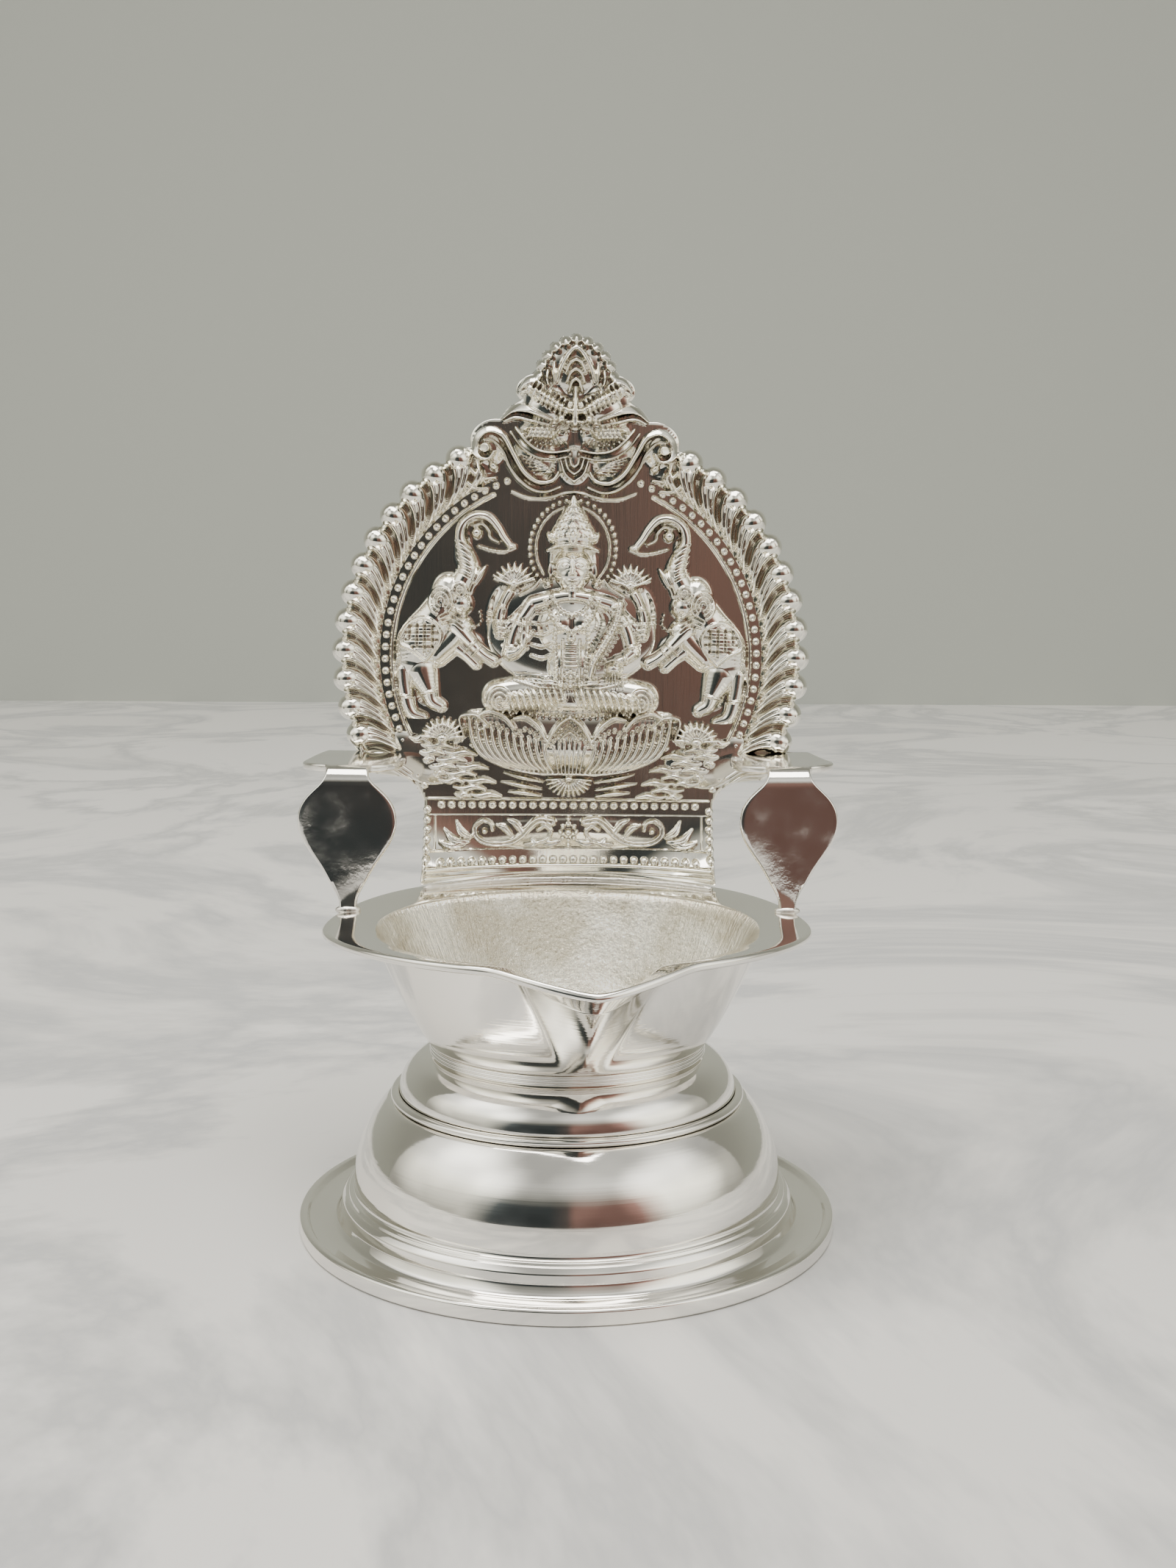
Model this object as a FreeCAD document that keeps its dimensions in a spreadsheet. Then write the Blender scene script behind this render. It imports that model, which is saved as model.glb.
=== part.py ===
import FreeCAD, Part
import os
import math
import re
import Sketcher
from FreeCAD import Vector, Placement, Rotation

# Silver altar lamp: a spun pedestal, an open oil bowl with a spout, and a stamped back plate that stands
# on the bowl's rim and is braced by two bent side straps. Millimetres, +Z up. The origin is on the
# pedestal's axis at the level it stands on. The spout points to -Y and the back plate stands at +Y.

DRIVING_SIZES = [
    # spun pedestal
    ("sheet_wall", 1.0, "wall of the spun and bent silver sheet"),
    ("bulge_base_radius", 27.7, "main bulge where it rises from the step"),
    ("step_width", 1.9, "width of the step round the main bulge"),
    ("step_height", 5.0, "top of the stepped foot"),
    ("step_round", 0.9, "rounding of the step's upper edge"),
    ("flange_width", 4.4, "how far the flange reaches past the step"),
    ("flange_lip", 2.0, "height of the flange's raised lip"),
    ("channel_width", 1.8, "from the step's side to the middle of the channel in the flange"),
    ("channel_height", 1.15, "top of the sheet in that channel"),
    ("bulge_rise", 0.5, "from the step's top to where the main bulge starts"),
    ("bulge_height", 10.6, "height of the main bulge"),
    ("bulge_top_radius", 23.2, "main bulge under the bead ring"),
    ("bulge_curve", 22.0, "radius of the main bulge's profile"),
    ("bead_inset", 1.2, "from the main bulge's upper edge to the middle of the bead ring's wire"),
    ("bead_wire", 0.611, "radius of the bead ring's wire"),
    ("shoulder_inset", 1.7, "from the main bulge's upper edge to the neck shell's lower edge"),
    ("neck_radius", 17.0, "narrowest radius of the neck"),
    ("neck_rise", 4.7, "height of the neck shell"),
    ("neck_curve", 7.6, "radius of the neck shell's profile"),
    ("foot_ring_overhang", 0.5, "how far the turned ring under the bowl stands out of the neck"),
    ("foot_ring_height", 1.3, "height of that ring"),
    ("foot_ring_groove", 0.22, "depth of the ring's turned groove"),
    # bowl
    ("bowl_foot_overhang", 0.3, "how far the bowl's foot stands out of the neck"),
    ("bowl_depth", 15.5, "bowl from its underside to its rim"),
    ("bowl_mouth_radius", 24.6, "bowl where the wall turns out into the rim"),
    ("rim_side_width", 6.3, "width of the rim at the sides and back"),
    ("rim_front_width", 4.4, "width of the rim beside the spout"),
    ("rim_ear_droop", 0.9, "how far the rim's side ears hang below the rim"),
    ("spout_length", 9.1, "from the bowl's mouth to the spout's tip"),
    ("spout_drop", 1.7, "how far the spout's tip lies below the rim"),
    ("spout_angle", 6.0, "how far the spout points to the side, in degrees"),
    ("spout_width", 23.0, "half the angle that the spout takes of the rim, in degrees"),
    # back plate
    ("plate_wall", 1.2, "thickness of the stamped sheet"),
    ("plate_inset", 2.3, "from the rim's edge to the plate's front face"),
    ("plate_lean", 0.8, "lean of the plate to the right, in degrees"),
    ("panel_width", 41.0, "width of the plate's foot panel"),
    ("panel_gap", 0.3, "from the rim to the panel's lower edge"),
    ("panel_height", 10.8, "height of the foot panel"),
    ("panel_curve_inset", 0.7, "from the rim's edge to the panel's curved lower edge"),
    ("panel_set_back", 0.15, "how far the panel's middle lies behind the arch's front face"),
    ("arch_rise", 20.4, "from the panel to the arch's centre"),
    ("arch_radius", 32.6, "radius of the sheet under the lobed border"),
    ("arch_foot_inset", 2.6, "how far the arch draws in to its lower ends"),
    ("shoulder_overhang", 7.3, "how far the shoulders stand out of the panel"),
    ("shoulder_rise", 3.4, "height of the hollow curves under the shoulders"),
    ("rope_edge", 0.6, "flat edge outside the border's band"),
    ("rope_width", 4.6, "width of the border's band"),
    ("rope_relief", 1.9, "height of the border above the sheet"),
    ("lobe_radius", 1.7, "radius of the border's round lobes"),
    ("lobe_start", 30.4, "angle from the top to the first lobe, in degrees"),
    ("lobe_count", 12, "lobes on each side"),
    ("lobe_gap", 1.98, "from the discs to the middle of the last lobes"),
    ("bead_row_gap", 1.4, "from the border's band to the row of beads inside it"),
    ("bead_row_wire", 0.6, "radius of that row"),
    ("crown_foot_width", 31.4, "width of the crown where it leaves the arch"),
    ("crown_leaf_width", 20.6, "distance between the tips of the crown's lower leaves"),
    ("crown_leaf_rise", 0.8, "from the arch's top to those tips"),
    ("crown_wing_width", 17.0, "distance between the tips of the crown's upper leaves"),
    ("crown_wing_rise", 4.0, "from the lower tips to the upper ones"),
    ("crown_notch", 1.5, "depth of the notch between the two leaves"),
    ("crown_head_width", 11.6, "width of the crown's beaded head"),
    ("crown_head_rise", 1.8, "from the upper leaves' tips to that head"),
    ("crown_head_length", 5.6, "height of the head"),
    ("volute_radius", 3.3, "radius of the crown's scroll ends"),
    ("volute_spread", 24.6, "distance between the scroll ends"),
    ("volute_drop", 2.9, "from the arch's top down to the scroll ends"),
    # raised figures on the plate
    ("throne_width", 30.0, "width of the lotus throne"),
    ("throne_height", 8.6, "height of the lotus throne"),
    ("throne_rise", 3.2, "from the panel to the throne's underside"),
    ("seat_width", 24.6, "width of the seated figure across the knees"),
    ("seat_height", 5.6, "height of the crossed legs"),
    ("body_height", 9.6, "height of the figure's trunk"),
    ("head_radius", 2.7, "half the height of the figure's head"),
    ("nimbus_radius", 6.1, "radius of the ring behind the head"),
    ("elephant_spread", 37.6, "distance between the middles of the elephants' bodies"),
    ("elephant_rise", 2.8, "from the arch's centre up to those middles"),
    ("elephant_height", 13.6, "height of an elephant's body"),
    ("elephant_reach", 1.7, "how far an elephant's head leans in from its body"),
    ("figure_relief", 3.4, "how far the seated figure stands out of the sheet"),
    ("elephant_relief", 2.4, "how far the elephants stand out of the sheet"),
    # side straps
    ("strap_inset", 2.2, "from the rim's edge at the side to the middle of a strap"),
    ("strap_front", 7.0, "distance from the axis to the straps' front faces"),
    ("strap_seat", 0.4, "how far the straps' feet reach below the rim's level, onto its drooping ears"),
    ("strap_foot_width", 2.2, "width of the strap at its lower end"),
    ("strap_neck_width", 3.2, "width of the strap under its blade"),
    ("strap_neck_length", 2.3, "from the strap's lower end to its blade"),
    ("blade_width", 12.8, "width of the spade-shaped blade"),
    ("blade_rise", 9.4, "from the neck to the blade's widest place"),
    ("disc_rise", 7.0, "from the blade's widest place to the disc's upper face"),
    ("bend_width", 5.4, "width of the strap at its bend"),
    ("bend_radius", 1.5, "inner radius of the strap's bend"),
    ("disc_width", 13.6, "width of the discs"),
    ("disc_front_lap", 0.8, "how far the disc's round front laps over the bend"),
    ("joint_clearance", 0.15, "space left for the solder"),
    ("solder_bead", 0.7, "radius of the solder seams"),
]

# Each piece seats on the one under it, so these sizes follow from the driving ones.
DERIVED_SIZES = {
    "step_radius": "bulge_base_radius + step_width",
    "flange_radius": "step_radius + flange_width",
    "channel_radius": "step_radius + channel_width",
    "bulge_base_height": "step_height + bulge_rise",
    "bulge_top_height": "bulge_base_height + bulge_height",
    "bead_ring_radius": "bulge_top_radius - bead_inset",
    "bead_ring_height": "1.8 * bead_wire",
    "shoulder_radius": "bulge_top_radius - shoulder_inset",
    "neck_base_height": "bulge_top_height + bead_ring_height",
    "neck_height": "neck_base_height + neck_rise",
    "foot_ring_radius": "neck_radius + foot_ring_overhang",
    "bowl_foot_radius": "neck_radius + bowl_foot_overhang",
    "bowl_base_height": "neck_height + foot_ring_height",
    "rim_height": "bowl_base_height + bowl_depth",
    "rim_side_radius": "bowl_mouth_radius + rim_side_width",
    "rim_front_radius": "bowl_mouth_radius + rim_front_width",
    "spout_reach": "bowl_mouth_radius + spout_length",
    "plate_front": "rim_side_radius - plate_inset",
    "panel_base": "rim_height + panel_gap",
    "panel_top": "panel_base + panel_height",
    "panel_foot_curve": "rim_side_radius - panel_curve_inset",
    "panel_bow": "panel_foot_curve - sqrt(panel_foot_curve ^ 2 - (panel_width / 2) ^ 2)",
    "arch_centre": "panel_top + arch_rise",
    "arch_top": "arch_centre + arch_radius",
    "arch_foot_width": "2 * (arch_radius - arch_foot_inset)",
    "shoulder_width": "panel_width + 2 * shoulder_overhang",
    "shoulder_height": "panel_top + shoulder_rise",
    "rope_outer": "arch_radius - rope_edge",
    "rope_inner": "rope_outer - rope_width",
    "bead_row_radius": "rope_inner - bead_row_gap",
    "crown_leaf_height": "arch_top + crown_leaf_rise",
    "crown_wing_height": "crown_leaf_height + crown_wing_rise",
    "crown_head_height": "crown_wing_height + crown_head_rise",
    "crown_height": "crown_head_height + crown_head_length",
    "volute_height": "arch_top - volute_drop",
    "throne_base": "panel_top + throne_rise",
    "seat_base": "throne_base + throne_height",
    "head_height": "seat_base + seat_height + body_height + head_radius * 0.1",
    "elephant_level": "arch_centre + elephant_rise",
    "head_spread": "elephant_spread - 2 * elephant_reach",
    "strap_spread": "2 * (rim_side_radius - strap_inset)",
    "strap_foot_height": "rim_height - strap_seat",
    "strap_neck_height": "strap_foot_height + strap_neck_length",
    "blade_middle_height": "strap_neck_height + blade_rise",
    "disc_height": "blade_middle_height + disc_rise",
    "bend_height": "disc_height - sheet_wall - bend_radius",
    "disc_front": "strap_front + sheet_wall + bend_radius - disc_front_lap",
    "disc_rear": "plate_front - joint_clearance",
    "disc_rear_width": "disc_width * 0.8",
}

doc = FreeCAD.newDocument("altar_lamp")
sheet = doc.addObject("Spreadsheet::Sheet", "Sizes")
for row, (alias, value, meaning) in enumerate(DRIVING_SIZES, start=1):
    sheet.set("A%d" % row, alias)
    sheet.set("B%d" % row, str(value))
    sheet.set("C%d" % row, meaning)
    sheet.setAlias("B%d" % row, alias)
doc.recompute()


def spelled(formula):
    """The formula with each derived size written out in driving ones."""
    def written_out(word):
        return "(%s)" % DERIVED_SIZES[word[0]] if word[0] in DERIVED_SIZES else word[0]
    while any(word in DERIVED_SIZES for word in re.findall("[a-z_]+", formula)):
        formula = re.sub("[a-z_]+", written_out, formula)
    return formula


def size(formula):
    """The value of a formula of named sizes, such as 'neck_radius - sheet_wall'."""
    value = sheet.evalExpression(spelled(formula))
    return float(getattr(value, "Value", value))


def bound(formula):
    """The same formula as another object's expression writes it, with the sheet's name before each alias."""
    aliases = {entry[0] for entry in DRIVING_SIZES}

    def with_sheet(word):
        return "Sizes." + word[0] if word[0] in aliases else word[0]
    return re.sub("[a-z_]+", with_sheet, spelled(formula))


# ---------------------------------------------------------------- sketches and bodies

def new_body(label):
    body = doc.addObject("PartDesign::Body", label)
    body.Label = label
    return body


def origin_plane(body, role):
    return [plane for plane in body.Origin.OriginFeatures if plane.Role == role][0]


def new_sketch(body, name, role, offset=None):
    """A sketch on one of the body's own planes, moved along the plane's normal by the formula `offset`."""
    sketch = body.newObject("Sketcher::SketchObject", name)
    sketch.AttachmentSupport = [(origin_plane(body, role), "")]
    sketch.MapMode = "FlatFace"
    if offset is not None:
        sketch.setExpression(".AttachmentOffset.Base.z", bound(offset))
    doc.recompute()
    return sketch


def fix_point(sketch, edge, end, across, up):
    """Ties one end of an edge to the sketch's origin by two formulas."""
    origin = (-1, 1)
    for kind, formula in (("DistanceX", across), ("DistanceY", up)):
        value = size(formula)
        index = sketch.addConstraint(Sketcher.Constraint(kind, *origin, edge, end, value))
        sketch.setExpression("Constraints[%d]" % index, bound(formula))


def arc_radius(corner, following):
    """The formula of an arc's radius: as given, or for a number that many times the arc's chord."""
    if isinstance(corner[2], str):
        return corner[2].lstrip("-")
    sides = ["((%s) - (%s)) ^ 2" % (following[axis], corner[axis]) for axis in (0, 1)]
    return "%s * sqrt(%s + %s)" % (abs(corner[2]), sides[0], sides[1])


def draw_outline(sketch, corners):
    """A closed outline. A corner is (across, up) or (across, up, radius): with a radius, the edge that
    leaves the corner is an arc, bulging to the right of the way, or to the left where a minus leads. The
    radius is a formula, or a number, which is then its share of the arc's chord, 0.5 for a half circle."""
    places = [Vector(size(corner[0]), size(corner[1]), 0) for corner in corners]
    count = len(corners)
    edges = []
    for index, corner in enumerate(corners):
        start = places[index]
        end = places[(index + 1) % count]
        if len(corner) == 2:
            sketch.addGeometry(Part.LineSegment(start, end), False)
            edges.append((1, 2))
            continue
        radius = size(arc_radius(corner, corners[(index + 1) % count]))
        outward = not str(corner[2]).startswith("-")
        chord = end.sub(start)
        height = math.sqrt(max(radius ** 2 - (chord.Length / 2) ** 2, 0.0))
        inside = Vector(-chord.y, chord.x, 0).normalize() * (height if outward else -height)
        centre = (start + end) * 0.5 + inside
        # an arc runs counter-clockwise, so a hollow one starts where the way ends
        first, last = (start, end) if outward else (end, start)
        angles = [math.atan2(place.y - centre.y, place.x - centre.x) for place in (first, last)]
        if angles[1] < angles[0]:
            angles[1] += 2 * math.pi
        circle = Part.Circle(centre, Vector(0, 0, 1), radius)
        sketch.addGeometry(Part.ArcOfCircle(circle, angles[0], angles[1]), False)
        edges.append((1, 2) if outward else (2, 1))
    for index in range(count):
        following = (index + 1) % count
        sketch.addConstraint(Sketcher.Constraint("Coincident", index, edges[index][1],
                                                 following, edges[following][0]))
    for index, corner in enumerate(corners):
        fix_point(sketch, index, edges[index][0], corner[0], corner[1])
        if len(corner) == 3:
            formula = arc_radius(corner, corners[(index + 1) % count])
            number = sketch.addConstraint(Sketcher.Constraint("Radius", index, size(formula)))
            sketch.setExpression("Constraints[%d]" % number, bound(formula))
    doc.recompute()


def revolved_body(label, corners):
    """A piece turned about the pedestal's axis from its closed half profile."""
    body = new_body(label)
    sketch = new_sketch(body, label + "_profile", "XZ_Plane")
    draw_outline(sketch, corners)
    turned = body.newObject("PartDesign::Revolution", label + "_turned")
    turned.Profile = sketch
    turned.ReferenceAxis = (sketch, ["V_Axis"])
    turned.Angle = 360.0
    body.Tip = turned
    doc.recompute()
    return body


# ---------------------------------------------------------------- spun pedestal
# The base shell is one wall thick all over: the inner profile follows the outer one.

base_shell = revolved_body("base_shell", [
    ("flange_radius - sheet_wall", "0"),
    ("flange_radius", "0"),
    ("flange_radius", "flange_lip - sheet_wall / 2", "sheet_wall * 0.56"),
    ("flange_radius - sheet_wall", "flange_lip - sheet_wall / 2"),
    ("channel_radius", "channel_height"),
    ("step_radius + step_round", "channel_height", "-step_round"),
    ("step_radius", "channel_height + step_round"),
    ("step_radius", "step_height - step_round", "step_round"),
    ("step_radius - step_round", "step_height"),
    ("bulge_base_radius + sheet_wall / 2", "step_height"),
    ("bulge_base_radius + sheet_wall / 4", "bulge_base_height"),
    ("bulge_base_radius", "bulge_base_height", "bulge_curve"),
    ("bulge_top_radius", "bulge_top_height"),
    ("bead_ring_radius - bead_wire - sheet_wall", "bulge_top_height"),
    ("bead_ring_radius - bead_wire - sheet_wall", "bulge_top_height - sheet_wall"),
    ("bulge_top_radius - sheet_wall", "bulge_top_height - sheet_wall", "-(bulge_curve - sheet_wall)"),
    ("bulge_base_radius - sheet_wall", "bulge_base_height - sheet_wall"),
    ("step_radius - sheet_wall", "step_height - sheet_wall"),
    ("step_radius - sheet_wall", "channel_height - sheet_wall"),
    ("flange_radius - 2 * sheet_wall", "channel_height - sheet_wall"),
])

bead_ring = revolved_body("bead_ring", [
    ("bead_ring_radius - bead_wire", "bulge_top_height"),
    ("bead_ring_radius + bead_wire * 0.6", "bulge_top_height", "bead_wire"),
    ("bead_ring_radius + bead_wire * 0.6", "neck_base_height"),
    ("bead_ring_radius - bead_wire", "neck_base_height"),
])

neck_shell = revolved_body("neck_shell", [
    ("shoulder_radius - sheet_wall", "neck_base_height"),
    ("shoulder_radius", "neck_base_height", "neck_curve"),
    ("neck_radius", "neck_height"),
    ("neck_radius - 2 * sheet_wall", "neck_height"),
    ("neck_radius - 2 * sheet_wall", "neck_height - sheet_wall"),
    ("neck_radius - sheet_wall", "neck_height - sheet_wall", "-(neck_curve - sheet_wall)"),
])

bowl_foot_ring = revolved_body("bowl_foot_ring", [
    ("neck_radius - 2 * sheet_wall", "neck_height"),
    ("neck_radius", "neck_height"),
    ("foot_ring_radius", "neck_height + foot_ring_height * 0.25"),
    ("foot_ring_radius - foot_ring_groove", "neck_height + foot_ring_height * 0.5"),
    ("foot_ring_radius", "neck_height + foot_ring_height * 0.75"),
    ("foot_ring_radius - foot_ring_groove", "bowl_base_height"),
    ("neck_radius - 2 * sheet_wall", "bowl_base_height"),
])


# ---------------------------------------------------------------- oil bowl with its spout
# The bowl is a grid of points worked out from two numbers. `way` runs from the foot (0) over the wall to
# the rim's edge (1). `turn` is the angle from the spout's direction, in degrees. Away from the spout the
# profile is the round wall and the flared rim. Towards the spout it changes to a straight keel.

WALL_SHARE = 0.8            # where on the way the wall ends and the rim starts
WALL_SWELL = 0.84           # below 1 the wall swells out above the foot
FRONT_SPREAD = 60.0         # degrees over which the rim narrows towards the spout
EAR_HEADING = 84.0          # where the rim droops most, in degrees from the back
EAR_SPREAD = 26.0           # degrees over which it droops
KEEL_FOOT_SHARE = 0.32      # width of the keel at the foot, as a share of that at the rim
KEEL_EDGE = 0.012           # rounding of the keel's ridge and sides
POINTS_AROUND = 44
RING_WAYS = (0.0, 0.2, 0.4, 0.6, 0.8, 0.88, 1.0)


def soft_positive(number):
    """The number where it is above zero and nothing below, with a rounded change."""
    return 0.5 * (number + math.sqrt(number * number + KEEL_EDGE))


def keel_share(way, turn):
    """1 on the spout's ridge, 0 outside the keel, falling evenly to both sides."""
    width = size("spout_width") * (KEEL_FOOT_SHARE + (1.0 - KEEL_FOOT_SHARE) * way)
    return min(soft_positive(1.0 - math.sqrt((turn / width) ** 2 + KEEL_EDGE)), 1.0)


def bowl_profile(way, turn):
    """Radius and level over the bowl's underside of the sheet's outer face."""
    foot = size("bowl_foot_radius")
    depth = size("bowl_depth") - size("sheet_wall")
    mouth = size("bowl_mouth_radius")
    flare = size("rim_ear_droop")
    if way <= WALL_SHARE:
        share = way / WALL_SHARE
        radius = foot + (mouth - foot) * share ** WALL_SWELL
        level = (depth - flare) * share
    else:
        share = (way - WALL_SHARE) / (1 - WALL_SHARE)
        front = math.exp(-(turn / FRONT_SPREAD) ** 2)
        edge = size("rim_side_radius") * (1 - front) + size("rim_front_radius") * front
        radius = mouth + (edge - mouth) * share
        heading = (turn + size("spout_angle")) % 360.0 - 180.0
        ear = math.exp(-((abs(heading) - EAR_HEADING) / EAR_SPREAD) ** 2)
        level = depth - flare + flare * math.sin(share * math.pi / 2) - flare * ear * share
    keel_radius = foot + (size("spout_reach") - foot) * way
    keel_level = (depth - size("spout_drop")) * way
    keel = keel_share(way, turn)
    return radius + (keel_radius - radius) * keel, level + (keel_level - level) * keel


def bowl_inner_profile(way, turn):
    """The sheet's inner face: one wall from the outer one, square to it."""
    step = 0.02
    below = bowl_profile(max(way - step, 0.0), turn)
    above = bowl_profile(min(way + step, 1.0), turn)
    along = math.hypot(above[0] - below[0], above[1] - below[1])
    radius, level = bowl_profile(way, turn)
    wall = size("sheet_wall")
    return radius - wall * (above[1] - below[1]) / along, level + wall * (above[0] - below[0]) / along


def bowl_ring(profile, way):
    """A closed smooth line round the bowl, with its points closer together at the spout."""
    underside = size("bowl_base_height")
    places = []
    for index in range(POINTS_AROUND):
        share = 2.0 * index / POINTS_AROUND - 1.0
        turn = 180.0 * (0.35 * share + 0.65 * share ** 3)
        radius, level = profile(way, turn)
        angle = math.radians(turn - 90.0 + size("spout_angle"))
        places.append(Vector(radius * math.cos(angle), radius * math.sin(angle), underside + level))
    curve = Part.BSplineCurve()
    curve.interpolate(Points=places, PeriodicFlag=True)
    return Part.Wire([curve.toShape()])


def floor_profile(way, turn):
    """The edge of the bowl's flat floor."""
    radius, level = bowl_inner_profile(way, turn)
    return radius, size("sheet_wall")


def bowl_shape():
    outer = [bowl_ring(bowl_profile, way) for way in RING_WAYS]
    inner = [bowl_ring(floor_profile, RING_WAYS[0])]
    inner += [bowl_ring(bowl_inner_profile, way) for way in RING_WAYS[1:]]
    faces = Part.makeLoft(outer, False, False).Faces + Part.makeLoft(inner, False, False).Faces
    faces.append(Part.makeRuledSurface(outer[-1].Edges[0], inner[-1].Edges[0]))
    faces.append(Part.Face(outer[0]))
    faces.append(Part.Face(inner[0]))
    shell = Part.makeShell(faces)
    shell.sewShape()
    solid = Part.makeSolid(shell)
    if solid.Volume < 0:
        solid.reverse()
    return solid


oil_bowl = doc.addObject("Part::Feature", "oil_bowl")
oil_bowl.Label = "oil_bowl"
oil_bowl.Shape = bowl_shape()
oil_bowl.Placement = Placement()


# ---------------------------------------------------------------- back plate: the stamped sheet
# The foot panel is bent to the rim's curve at its lower edge and is nearly flat where the arch starts.

foot_panel = new_body("foot_panel")
PANEL_LEVELS = [
    # share of the panel's height, and how much of the lower edge's bow is left there
    (0.0, 1.0),
    (0.19, 0.56),
    (0.51, 0.18),
    (1.0, 0.03),
]
panel_sections = []
for number, (height_share, bow_share) in enumerate(PANEL_LEVELS):
    level = "panel_base + panel_height * %s" % height_share
    section = new_sketch(foot_panel, "panel_section_%d" % number, "XY_Plane", offset=level)
    bow = "panel_bow * %s" % bow_share
    curve = "((panel_width / 2) ^ 2 + (%s) ^ 2) / (2 * %s)" % (bow, bow)
    side_front = "plate_front + panel_set_back - %s" % bow
    side_back = side_front + " + plate_wall"
    draw_outline(section, [
        ("0 - panel_width / 2", side_front, "-" + curve),
        ("panel_width / 2", side_front),
        ("panel_width / 2", side_back, curve),
        ("0 - panel_width / 2", side_back),
    ])
    panel_sections.append(section)
panel_loft = foot_panel.newObject("PartDesign::AdditiveLoft", "panel_loft")
panel_loft.Profile = panel_sections[0]
panel_loft.Sections = panel_sections[1:]
panel_loft.Ruled = False
foot_panel.Tip = panel_loft
doc.recompute()

# The arch leans a little to the right, about the middle of the panel's upper edge.
lean_turn = Rotation(Vector(0, 1, 0), size("plate_lean"))
lean_point = Vector(0, 0, size("panel_top"))
LEAN = Placement(Vector(0, 0, 0), lean_turn, lean_point)

arch_sheet = new_body("arch_sheet")
arch_outline = new_sketch(arch_sheet, "arch_outline", "XZ_Plane", offset="0 - plate_front - plate_wall")

arch_foot_level = "arch_centre - sqrt(arch_radius ^ 2 - (arch_foot_width / 2) ^ 2)"
crown_foot_level = "arch_centre + sqrt(arch_radius ^ 2 - (crown_foot_width / 2) ^ 2)"
half_outline = [
    ("panel_width / 2", "panel_top - panel_height * 0.28"),
    ("panel_width / 2", "panel_top", -1.118),
    ("shoulder_width / 2", "shoulder_height"),
    ("arch_foot_width / 2", arch_foot_level, "arch_radius"),
    ("crown_foot_width / 2", crown_foot_level, 0.591),
    ("volute_spread / 2", "volute_height + volute_radius"),
    ("crown_leaf_width / 2", "crown_leaf_height"),
    ("crown_wing_width / 2 - crown_notch", "crown_wing_height - crown_wing_rise / 2 - crown_notch / 2"),
    ("crown_wing_width / 2", "crown_wing_height"),
    ("crown_head_width / 2", "crown_head_height", 1.178),
    ("0", "crown_height"),
]
whole = list(half_outline)
for index in range(len(half_outline) - 2, -1, -1):
    across, up = half_outline[index][:2]
    whole.append(("0 - (%s)" % across, up))
# an arc that leaves a corner on the right comes back to its mirror image on the left
for index in range(len(half_outline) - 1):
    if len(half_outline[index]) == 3:
        opposite = len(whole) - 1 - (index + 1)
        whole[opposite] = whole[opposite][:2] + (half_outline[index][2],)
draw_outline(arch_outline, whole)

arch_pad = arch_sheet.newObject("PartDesign::Pad", "arch_pad")
arch_pad.Profile = arch_outline
arch_pad.setExpression("Length", bound("plate_wall"))
arch_sheet.Tip = arch_pad
doc.recompute()
arch_sheet.Placement = LEAN


# ---------------------------------------------------------------- back plate: the raised forms
# Each is a flat-topped form that starts inside the sheet and stands out of its front face. The forms of
# one label are joined to the plate together.

raised_forms = {}


def raise_form(label, form, across, level, depth, spin=0.0):
    """Puts a form on the arch, its own Z axis towards the front. It starts `depth` behind the front face,
    and `spin` turns it on the sheet."""
    foot = Vector(across, size("plate_front") + depth, level)
    facing = Rotation(Vector(0, 1, 0), spin).multiply(Rotation(Vector(1, 0, 0), 90))
    form.Placement = LEAN.multiply(Placement(foot, facing))
    raised_forms.setdefault(label, []).append(form)


def raise_oval(label, side, across, level, width, height, relief, spin):
    """An oval form with its width and height and how far it stands out of the sheet."""
    ring = doc.addObject("Part::Ellipse", label + "_ring")
    half_width, half_height = "(%s) / 2" % width, "(%s) / 2" % height
    lying = size(width) >= size(height)
    ring.setExpression("MajorRadius", bound(half_width if lying else half_height))
    ring.setExpression("MinorRadius", bound(half_height if lying else half_width))
    form = doc.addObject("Part::Extrusion", label)
    form.Base = ring
    form.DirMode = "Custom"
    form.Dir = Vector(0, 0, 1)
    form.Solid = True
    form.setExpression("LengthFwd", bound("plate_wall / 2 + " + relief))
    turn = side * spin if lying else side * spin + 90.0
    raise_form(label, form, side * size(across), size(level), size("plate_wall / 2"), turn)


def raise_lobe(side, angle):
    """A round lobe on the border, narrower at its top. Its angle is from the arch's top, in degrees."""
    reach = size("rope_outer - lobe_radius * 0.15")
    across = side * reach * math.sin(math.radians(angle))
    level = size("arch_centre") + reach * math.cos(math.radians(angle))
    cone = doc.addObject("Part::Cone", "rope_lobe")
    cone.setExpression("Radius1", bound("lobe_radius"))
    cone.setExpression("Radius2", bound("lobe_radius * 0.7"))
    cone.setExpression("Height", bound("plate_wall * 0.4 + rope_relief * 0.9"))
    raise_form("rope_lobe", cone, across, level, size("plate_wall * 0.4"))


def raise_band(label, inner, outer, relief, reach):
    """A flat ring along the arch, from `reach` degrees on one side of its top to the other side."""
    outside = doc.addObject("Part::Cylinder", label + "_outside")
    outside.setExpression("Radius", bound(outer))
    outside.Angle = 2 * reach
    inside = doc.addObject("Part::Cylinder", label + "_inside")
    inside.setExpression("Radius", bound(inner))
    for cylinder in (outside, inside):
        cylinder.setExpression("Height", bound("plate_wall / 2 + " + relief))
        cylinder.Placement = Placement(Vector(0, 0, 0), Rotation(Vector(0, 0, 1), 90.0 - reach))
    ring = doc.addObject("Part::Cut", label)
    ring.Base = outside
    ring.Tool = inside
    raise_form(label, ring, 0.0, size("arch_centre"), size("plate_wall / 2"))


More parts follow.
